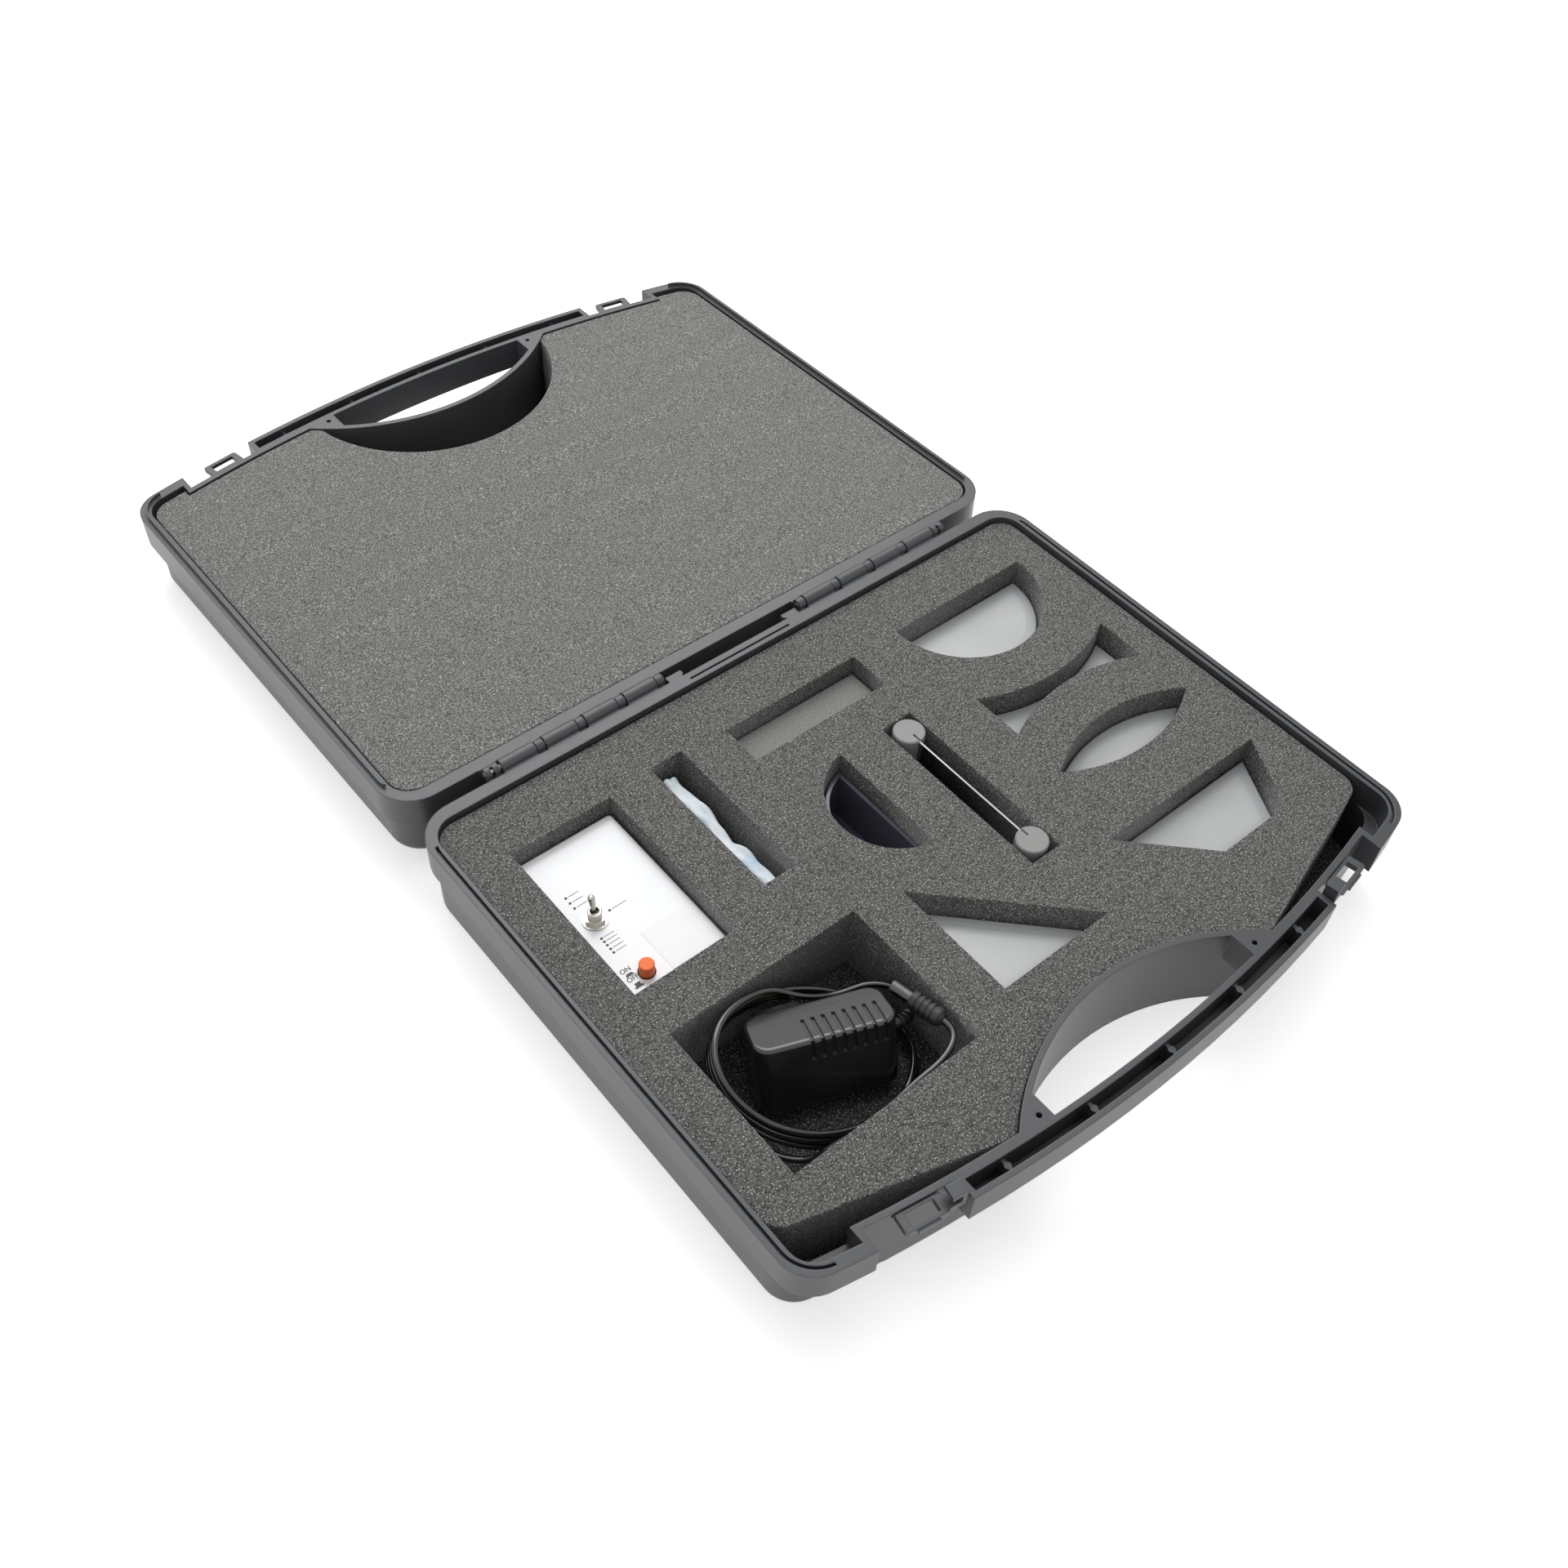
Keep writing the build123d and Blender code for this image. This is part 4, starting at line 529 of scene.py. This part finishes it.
def trayOutline(withArc, wideFrom=None):
    # inside of a tray: straight back and sides, bowed front, hand hole's lip, and the lid's finger gap;
    # from wideFrom outwards the front corners may reach nearer to the rim
    v = foam
    s, r = v["side"], v["trayCorner"]
    bow = caseFrame["frontRadius"] - v["trayFront"]
    cornerBow = caseFrame["frontRadius"] - (v["cornerFront"] if wideFrom else v["trayFront"])
    lip = caseFrame["handRadius"] + caseFrame["handWall"] + v["lipFit"]
    cornerY = frontY - math.sqrt(cornerBow**2 - s**2)
    slope = s / math.sqrt(cornerBow**2 - s**2)
    meetY = (bow**2 - lip**2 - frontY**2 + caseFrame["handY"]**2) / (2 * (caseFrame["handY"] - frontY))
    meetX = math.sqrt(lip**2 - (meetY - caseFrame["handY"])**2)
    startX = s - v["cornerStart"]
    step = v["cornerStep"]
    stepX = wideFrom or startX
    wide = [math.degrees(math.asin(x / cornerBow)) for x in (startX, stepX)]
    inner = [math.degrees(math.asin(x / bow)) for x in (stepX, meetX)]
    corner = arcPoints((0, frontY), cornerBow, -90 - wide[0], -90 - wide[1], 6)
    front = [corner if wideFrom else corner[:-1],
             arcPoints((0, frontY), bow, -90 - inner[0], -90 - inner[1], 20)]
    rightFront = [piece[::-1] * (-1, 1) for piece in front[::-1]]
    spread = math.degrees(math.asin(meetX / lip))
    middle = [arcPoints((0, caseFrame["handY"]), lip, 90 + spread, 90 - spread, 48)[1:-1]]
    if withArc:
        arc, arcY = v["lidArcRadius"], v["lidArcY"]
        crossY = (lip**2 - arc**2 - caseFrame["handY"]**2 + arcY**2) / (2 * (arcY - caseFrame["handY"]))
        crossX = math.sqrt(lip**2 - (crossY - caseFrame["handY"])**2)
        near = math.degrees(math.asin(crossX / lip))
        turn = math.degrees(math.atan2(crossX, crossY - arcY))
        middle = [arcPoints((0, caseFrame["handY"]), lip, 90 + spread, 90 + near, 6)[1:-1],
                  arcPoints((0, arcY), arc, 90 + turn, 90 - turn, 56),
                  arcPoints((0, caseFrame["handY"]), lip, 90 - near, 90 - spread, 6)[1:-1]]
    return np.concatenate([
        roundCorner((s, v["backY"]), (-s, v["backY"]), (-s, cornerY), r),
        roundCorner((-s, v["backY"]), (-s, cornerY), (-s + step, cornerY - step * slope), r),
        *front, *middle, *rightFront,
        roundCorner((s - step, cornerY - step * slope), (s, cornerY), (s, v["backY"]), r),
        roundCorner((s, cornerY), (s, v["backY"]), (-s, v["backY"]), r)])


def foamMesh(name, outlines, low, high, opened):
    # flat outlines, filled between, given their thickness and a soft edge, then made a mesh
    curve = bpy.data.curves.new(name + "Outline", "CURVE")
    curve.dimensions = "2D"
    curve.fill_mode = "BOTH"
    curve.extrude = (high - low) / 2 - foam["edge"]
    curve.bevel_depth = foam["edge"]
    curve.bevel_resolution = 2
    curve.offset = -foam["edge"]
    for outline in outlines:
        spline = curve.splines.new("POLY")
        spline.points.add(len(outline) - 1)
        flat = np.concatenate([outline, np.zeros((len(outline), 1)), np.ones((len(outline), 1))], axis=1)
        spline.points.foreach_set("co", flat.ravel())
        spline.use_cyclic_u = True
    lift = (0, 0, (low + high) / 2)
    return drawnMesh(name + "Outline", curve,
                     lambda points: onLid(points + lift) if opened else points + lift)


def foamPiece(name, layers, material, body, opened=False):
    # one piece of one or more layers, each with its outlines and its lowest and highest plane
    joined = bmesh.new()
    for outlines, low, high in layers:
        joined.from_mesh(foamMesh(name, outlines, low, high, opened))
    mesh = bpy.data.meshes.new(name)
    joined.to_mesh(mesh)
    joined.free()
    piece = placePiece(name, mesh, material, body)
    return piece


insert = foamPiece("foamInsert",
                   [([insertOutline(), *pocketOutlines()], foam["padTop"], foam["top"])],
                   looks["foam"], "base")
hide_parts("base_foam_left_back", "base_foam_left_front", "base_foam_middle_back",
            "base_foam_middle_front", "base_foam_right_back", "base_foam_right_front")
pad = foamPiece("foamPad", [([trayOutline(False)], foam["padBottom"], foam["padTop"])],
                looks["padFoamPaintedDarker"], "base")
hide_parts("base_foam_pad")
lidPad = foamPiece("foamLid", [([trayOutline(True)], foam["lidLayer"], foam["lidBack"]),
                               ([trayOutline(True, foam["wideFrom"])], foam["lidFace"], foam["lidLayer"])],
                   looks["lidFoamPaintedLighter"], "lid", True)
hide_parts("lid_foam")
# the face stands proud of the solid's while the lid is open; shut, the lid would press it back
tuple(inMetres(onLid([(*foam["squashAt"], foam["lidBack"])]))[0])
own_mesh(lidPad)
print("foam made")


# the route is the part's own: out of the relief, round the adapter in oval loops that work down
# to the pad, and up along the pocket's front to the plug; places from the pocket's middle
cord = {"diameter": 2.8, "metres": 0.938, "pocketMiddle": (-98.5, -181.0, -39.0),
        "loopOffset": (-2.4, 1.4), "halfWidth": 39.8, "halfDepth": 29.8, "axis": -17.0, "growth": 0.75,
        "fall": 3.5, "middle": 22.55, "tilt": 12.8, "high": 140.0, "fold": 2.5, "turns": 3.25,
        "pointsPerTurn": 16, "lead": ((14.5, 21.4, 21.0), (-0.88, 0.36, 0.32)),
        "rest": [((-33.9, -23.0, 12.4), (0.66, -0.75, 0.0)), ((-15.5, -32.8, 23.0), (1.0, -0.22, 0.26)),
                 ((24.5, -34.1, 31.8), (1.0, 0.0, 0.08))],
        "plug": ((40.9, -21.5, 32.4), (-0.2, 0.98, 0.0))}
relief = {"adapterOffset": (1.8, 2.9), "adapterTurn": -21.4, "adapterLean": 22.0,
          "adapterSize": (57.2, 24.0, 31.0), "back": 0.5, "rise": 3.0, "neck": 2.4, "bend": 8.6,
          "turn": 140.0}


def cordKey(place, way):
    way = np.array(way, float)
    return np.array(cord["pocketMiddle"]) + place, way / np.linalg.norm(way)


def reliefEnd():
    # the relief runs out of the adapter's end and bends, level, towards its back
    v = relief
    lean, start = math.radians(v["adapterLean"]), math.radians(v["adapterTurn"])
    length, thick, deep = v["adapterSize"]
    height = (deep * math.cos(lean) + thick * math.sin(lean)) / 2
    y = v["back"] * math.cos(lean) + v["rise"] * math.sin(lean)
    z = height - v["back"] * math.sin(lean) + v["rise"] * math.cos(lean)
    along = length / 2 + v["neck"]
    heading = start + math.radians(v["turn"])
    x = along * math.cos(start) - y * math.sin(start) + v["bend"] * (math.sin(heading) - math.sin(start))
    y = along * math.sin(start) + y * math.cos(start) + v["bend"] * (math.cos(start) - math.cos(heading))
    across, depth = v["adapterOffset"]
    return cordKey((across + x, depth + y, z), (math.cos(heading), math.sin(heading), 0))


def loopPlaces(turns, outward=1.0):
    # an oval, turned by its axis, that widens and falls with each turn and stands higher on one side:
    # height = middle - fall * turns + tilt * cos(angle - high) + fold * cos(2 * (angle - high))
    v = cord
    angle = math.pi / 2 + 2 * math.pi * np.asarray(turns)
    axis = math.radians(v["axis"])
    alongX = (v["halfWidth"] + v["growth"] * turns) * outward * np.cos(angle - axis)
    acrossY = (v["halfDepth"] + v["growth"] * turns) * outward * np.sin(angle - axis)
    fromHigh = angle - math.radians(v["high"])
    x = v["loopOffset"][0] + alongX * math.cos(axis) - acrossY * math.sin(axis)
    y = v["loopOffset"][1] + alongX * math.sin(axis) + acrossY * math.cos(axis)
    z = v["middle"] - v["fall"] * turns + v["tilt"] * np.cos(fromHigh) + v["fold"] * np.cos(2 * fromHigh)
    return np.stack([x, y, z], axis=-1)


def loopKey(turns):
    # a place on the loops and the way the cord runs there
    step = 0.0005
    before, after = loopPlaces(np.array([turns - step, turns + step]))
    return cordKey((before + after) / 2, after - before)


def handles(start, startWay, end, endWay):
    # ends of the tangents of two arcs that join the places with those directions
    across, both = end - start, startWay + endWay
    spread = 2 * (1 - startWay @ endWay)
    reach = across @ both
    size = (math.sqrt(reach**2 + spread * (across @ across)) - reach) / spread
    return [start + startWay * size, end - endWay * size]


def cordRoute():
    v = cord
    lead = cordKey(*v["lead"])
    start = reliefEnd()
    first, last = loopKey(0.0), loopKey(v["turns"])
    turns = (np.arange(round(v["turns"] * v["pointsPerTurn"])) + 0.5) / v["pointsPerTurn"]
    loops = loopPlaces(turns, 1 / math.cos(math.pi / v["pointsPerTurn"])) + v["pocketMiddle"]
    route = [start[0], *handles(*start, *lead), *handles(*lead, *first), *loops]
    rest = [last] + [cordKey(*entry) for entry in v["rest"]] + [cordKey(*v["plug"])]
    for before, after in zip(rest, rest[1:]):
        route += handles(*before, *after)
    return np.array(route + [rest[-1][0]])


def makeCord():
    route = inMetres(cordRoute())
    curve = bpy.data.curves.new("adapterCord", "CURVE")
    curve.dimensions = "3D"
    curve.bevel_depth = cord["diameter"] / 2 / 1000
    curve.bevel_resolution = 4
    curve.resolution_u = 6
    curve.use_fill_caps = True
    spline = curve.splines.new("NURBS")
    spline.points.add(len(route) - 1)
    weighted = np.concatenate([route, np.ones((len(route), 1))], axis=1)
    spline.points.foreach_set("co", weighted.ravel())
    spline.order_u = 3
    spline.use_endpoint_u = True
    curve.materials.append(looks["vinyl"])
    piece = bpy.data.objects.new("adapterCord", curve)
    bpy.context.scene.collection.objects.link(piece)
    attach(piece, "adapter")
    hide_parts("adapter_cord")


makeCord()
print("cord made")


# section is one cut across the folded cloth, as shares of its width and height, from the inner end
# outwards; a crease's three values are its waves along the cloth and how far it pushes out and up
cloth = {"x": -71.0, "width": 10.6, "centreY": -75.0, "length": 69.0, "bottom": -38.5, "height": 28.6,
         "thickness": 0.5, "flat": (0.069, 0.118), "rows": 120, "columns": 76, "smoothings": 3,
         "waistAt": 0.60, "waistWidth": 0.09, "waistPull": 0.22, "waistDrop": 0.06,
         "swell": (9, 0.6, 0.05), "broadCrease": (15, 0.030, 0.014), "fineCrease": (33, 0.020, 0.010),
         "creasePower": 0.7,
         "section": [(0.46, 0.05), (0.36, 0.40), (0.44, 0.74), (0.60, 0.72), (0.66, 0.35), (0.62, 0.05),
                     (0.84, 0.02), (0.96, 0.25), (0.97, 0.60), (0.93, 0.86), (0.76, 0.97), (0.52, 0.93),
                     (0.30, 1.00), (0.10, 0.92), (0.03, 0.60), (0.02, 0.30), (0.03, 0.02)]}


def sectionShares():
    # places at even steps along the section's polyline, each moved three times to the mean of itself
    # twice and its two neighbours
    corners = np.array(cloth["section"], float)
    reach = np.concatenate([[0], np.cumsum(np.linalg.norm(np.diff(corners, axis=0), axis=1))])
    steps = np.linspace(0, reach[-1], cloth["columns"])
    share = np.stack([np.interp(steps, reach, corners[:, axis]) for axis in (0, 1)], axis=-1)
    for _ in range(cloth["smoothings"]):
        share[1:-1] = (share[:-2] + 2 * share[1:-1] + share[2:]) / 4
    return share


def clothPoints():
    # the section is carried along the pocket. Each point moves by a broad crease, the sine of its place
    # along the cloth raised to a power below one, and by a finer sine, both more the higher it is, and
    # a bell-shaped waist pulls the right side in and lowers the top
    v = cloth
    share = sectionShares()
    wide, high = share[None, :, 0], share[None, :, 1]
    t = np.linspace(0, 1, v["rows"])[:, None]
    waist = np.exp(-((t - v["waistAt"]) / v["waistWidth"])**2)
    swellWaves, swellStart, swellDrop = v["swell"]
    crest = 1 - v["waistDrop"] * waist - swellDrop * np.sin(swellWaves * t + swellStart)**2
    broadWaves, broadOut, broadUp = v["broadCrease"]
    broad = np.sin(broadWaves * t + 4 * wide)
    broad = np.sign(broad) * np.abs(broad)**v["creasePower"]
    fineWaves, fineOut, fineUp = v["fineCrease"]
    fine = np.sin(fineWaves * t - 7 * wide + 3 * high)
    x = wide * (1 - v["waistPull"] * waist * high) + (broadOut * broad + fineOut * fine) * high
    z = high * crest + (broadUp * broad + fineUp * fine) * high**2
    x = v["x"] + v["width"] * np.clip(x, 0.03, 0.97)
    y = v["centreY"] + (0.5 - t) * v["length"]
    z = v["bottom"] + v["height"] * np.clip(z, 0.0, 1.0)
    return inMetres(np.stack([x, np.broadcast_to(y, x.shape), z], axis=-1).reshape(-1, 3))


def makeClothPiece():
    v = cloth
    points = clothPoints()
    grid = np.arange(len(points)).reshape(v["rows"], v["columns"])
    faces = np.stack([grid[:-1, :-1], grid[:-1, 1:], grid[1:, 1:], grid[1:, :-1]], axis=-1).reshape(-1, 4)
    mesh = meshFrom("wipingCloth", points, faces)
    mesh.polygons.foreach_set("use_smooth", [True] * len(mesh.polygons))
    piece = placePiece("wipingCloth", mesh, looks["cloth"], "cloth")
    thick = piece.modifiers.new("thickness", "SOLIDIFY")
    thick.thickness = v["thickness"] / 1000
    thick.offset = 0
    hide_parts("cleaning_cloth")
    corners = points[faces]
    crossed = np.cross(corners[:, 2] - corners[:, 0], corners[:, 3] - corners[:, 1])
    area = float(np.sum(np.linalg.norm(crossed, axis=1)) / 2)
    print("cloth area in square metres", round(area, 5), "declared", v["flat"][0] * v["flat"][1])


makeClothPiece()
print("cloth made")


# rows of dots with a rule each, by their distance in front of the hinge; single is one more dot's
# place and its rule's length, and the symbols are a pressed and a released switch
legend = {"dotX": -136.3, "dotRadius": 0.62, "lineGap": 1.1, "lineLength": 5.0, "lineWidth": 0.28,
          "topZ": -11.0, "proud": 0.03, "three": (65.6, 68.7, 71.8),
          "five": (90.2, 92.1, 94.1, 96.3, 98.4), "single": (-125.8, 81.0, 7.0),
          "words": {"ON": (-140.2, -108.9), "OFF": (-140.2, -113.6)}, "letterSize": 3.0,
          "letterBold": 0.06,
          "symbols": [[(-139.6, -111.2), (-135.5, -111.2), (-136.4, -109.7), (-138.7, -109.7)],
                      [(-139.6, -117.6), (-135.5, -117.6), (-135.5, -116.8), (-136.3, -116.8),
                       (-136.3, -115.1), (-138.8, -115.1), (-138.8, -116.8), (-139.6, -116.8)]]}


def makeMarks():
    # flat discs, thin rules and switch symbols, a hair above the cover
    v = legend
    dots = [(v["dotX"], ahead, v["lineLength"]) for ahead in (*v["three"], *v["five"])] + [v["single"]]
    outlines = []
    for x, ahead, length in dots:
        outlines.append(arcPoints((x, -ahead), v["dotRadius"], 0, 345, 24))
        outlines.append(rectPoints(x + v["lineGap"] + length / 2, -ahead, length, v["lineWidth"]))
    outlines += v["symbols"]
    flat = np.concatenate(outlines)
    height = np.full((len(flat), 1), v["topZ"] + v["proud"])
    ends = np.cumsum([len(outline) for outline in outlines])
    faces = np.split(np.arange(len(flat)), ends[:-1])
    mesh = meshFrom("patternLegend", inMetres(np.concatenate([flat, height], axis=1)), faces)
    placePiece("patternLegend", mesh, looks["ink"], "laser_box")


def makeWord(word, place):
    curve = bpy.data.curves.new("word" + word, "FONT")
    curve.body = word
    curve.size = legend["letterSize"]
    curve.offset = legend["letterBold"]
    place = (*place, legend["topZ"] + legend["proud"])
    mesh = drawnMesh("word" + word, curve, lambda points: points + place)
    placePiece("word" + word, mesh, looks["ink"], "laser_box")


makeMarks()
for word, place in legend["words"].items():
    makeWord(word, place)
print("legend made")


# metres; each lamp has its place, power and size
stageLook = {"floorSize": 6.0, "floorDrop": 0.0002, "floorColor": (0.93, 0.93, 0.93), "roughness": 0.7,
             "specular": 0.1, "glow": 0.58, "worldLight": 0.44, "aim": (0, 0.13, 0.02),
             "lamps": {"keyLamp": ((0.45, 1.05, 1.15), 12.5, 1.1),
                       "topLamp": ((0.30, 0.50, 1.80), 9.0, 1.5)}}


def seenRays(tree):
    # 1 for rays of the camera, of reflections and through clear pieces
    path = tree.nodes.new("ShaderNodeLightPath")
    seen = mathNode(tree, "MAXIMUM", path.outputs["Is Camera Ray"], path.outputs["Is Glossy Ray"])
    return mathNode(tree, "MAXIMUM", seen, path.outputs["Is Transmission Ray"])


def makeFloor():
    # pale floor that glows white where it is looked at and keeps the shadow
    v = stageLook
    side, low = v["floorSize"], -v["floorDrop"]
    corners = [(-side, -side, low), (side, -side, low), (side, side, low), (-side, side, low)]
    mesh = meshFrom("floor", corners, [(0, 1, 2, 3)])
    floor = bpy.data.objects.new("floor", mesh)
    bpy.context.scene.collection.objects.link(floor)
    material, tree, shader, _ = startMaterial("floor", v["floorColor"], v["roughness"])
    shader.inputs["Specular IOR Level"].default_value = v["specular"]
    shader.inputs["Emission Color"].default_value = (1, 1, 1, 1)
    tree.links.new(mathNode(tree, "MULTIPLY", seenRays(tree), v["glow"]),
                   shader.inputs["Emission Strength"])
    mesh.materials.append(material)


def makeWorld():
    # white to the camera and in reflections, softer as light
    world = bpy.data.worlds.new("studio")
    world.use_nodes = True
    bpy.context.scene.world = world
    tree = world.node_tree
    back = tree.nodes["Background"]
    mix = tree.nodes.new("ShaderNodeMix")
    mix.inputs["A"].default_value = stageLook["worldLight"]
    mix.inputs["B"].default_value = 1.0
    tree.links.new(seenRays(tree), mix.inputs["Factor"])
    tree.links.new(mix.outputs["Result"], back.inputs["Strength"])
    back.inputs["Color"].default_value = (1, 1, 1, 1)


def makeLamp(name, place, power, size):
    lamp = bpy.data.lights.new(name, "AREA")
    lamp.energy = power
    lamp.size = size
    holder = bpy.data.objects.new(name, lamp)
    holder.location = place
    aim = Vector(stageLook["aim"]) - Vector(place)
    holder.rotation_euler = aim.to_track_quat("-Z", "Y").to_euler()
    bpy.context.scene.collection.objects.link(holder)


# the camera that fits the photograph: millimetres in the part's frame, degrees, pixels
view = {"place": (-328.03, -255.18, 555.38), "yaw": -43.12, "pitch": 49.93, "roll": 4.38,
        "focal": 1945.24, "frameWidth": 1920.0, "sensor": 36.0}


def makeCamera():
    yaw, pitch, roll = (math.radians(view[key]) for key in ("yaw", "pitch", "roll"))
    ahead = Vector((-math.sin(yaw) * math.cos(pitch), math.cos(yaw) * math.cos(pitch),
                    -math.sin(pitch)))
    right = Vector((math.cos(yaw), math.sin(yaw), 0))
    up = right.cross(ahead)
    tiltedRight = right * math.cos(roll) + up * math.sin(roll)
    tiltedUp = up * math.cos(roll) - right * math.sin(roll)
    camera = bpy.data.objects.new("camera", bpy.data.cameras.new("camera"))
    camera.data.sensor_width = view["sensor"]
    camera.data.lens = view["focal"] / view["frameWidth"] * view["sensor"]
    camera.data.clip_start = 0.01
    turn = Matrix((tiltedRight, tiltedUp, -ahead)).transposed().to_4x4()
    camera.matrix_world = Matrix.Translation(Vector(view["place"]) * 0.001) @ turn
    bpy.context.scene.collection.objects.link(camera)
    bpy.context.scene.camera = camera


makeFloor()
makeWorld()
for name, values in stageLook["lamps"].items():
    makeLamp(name, *values)
makeCamera()
bpy.context.scene.view_settings.view_transform = "Standard"
print("stage and camera set")
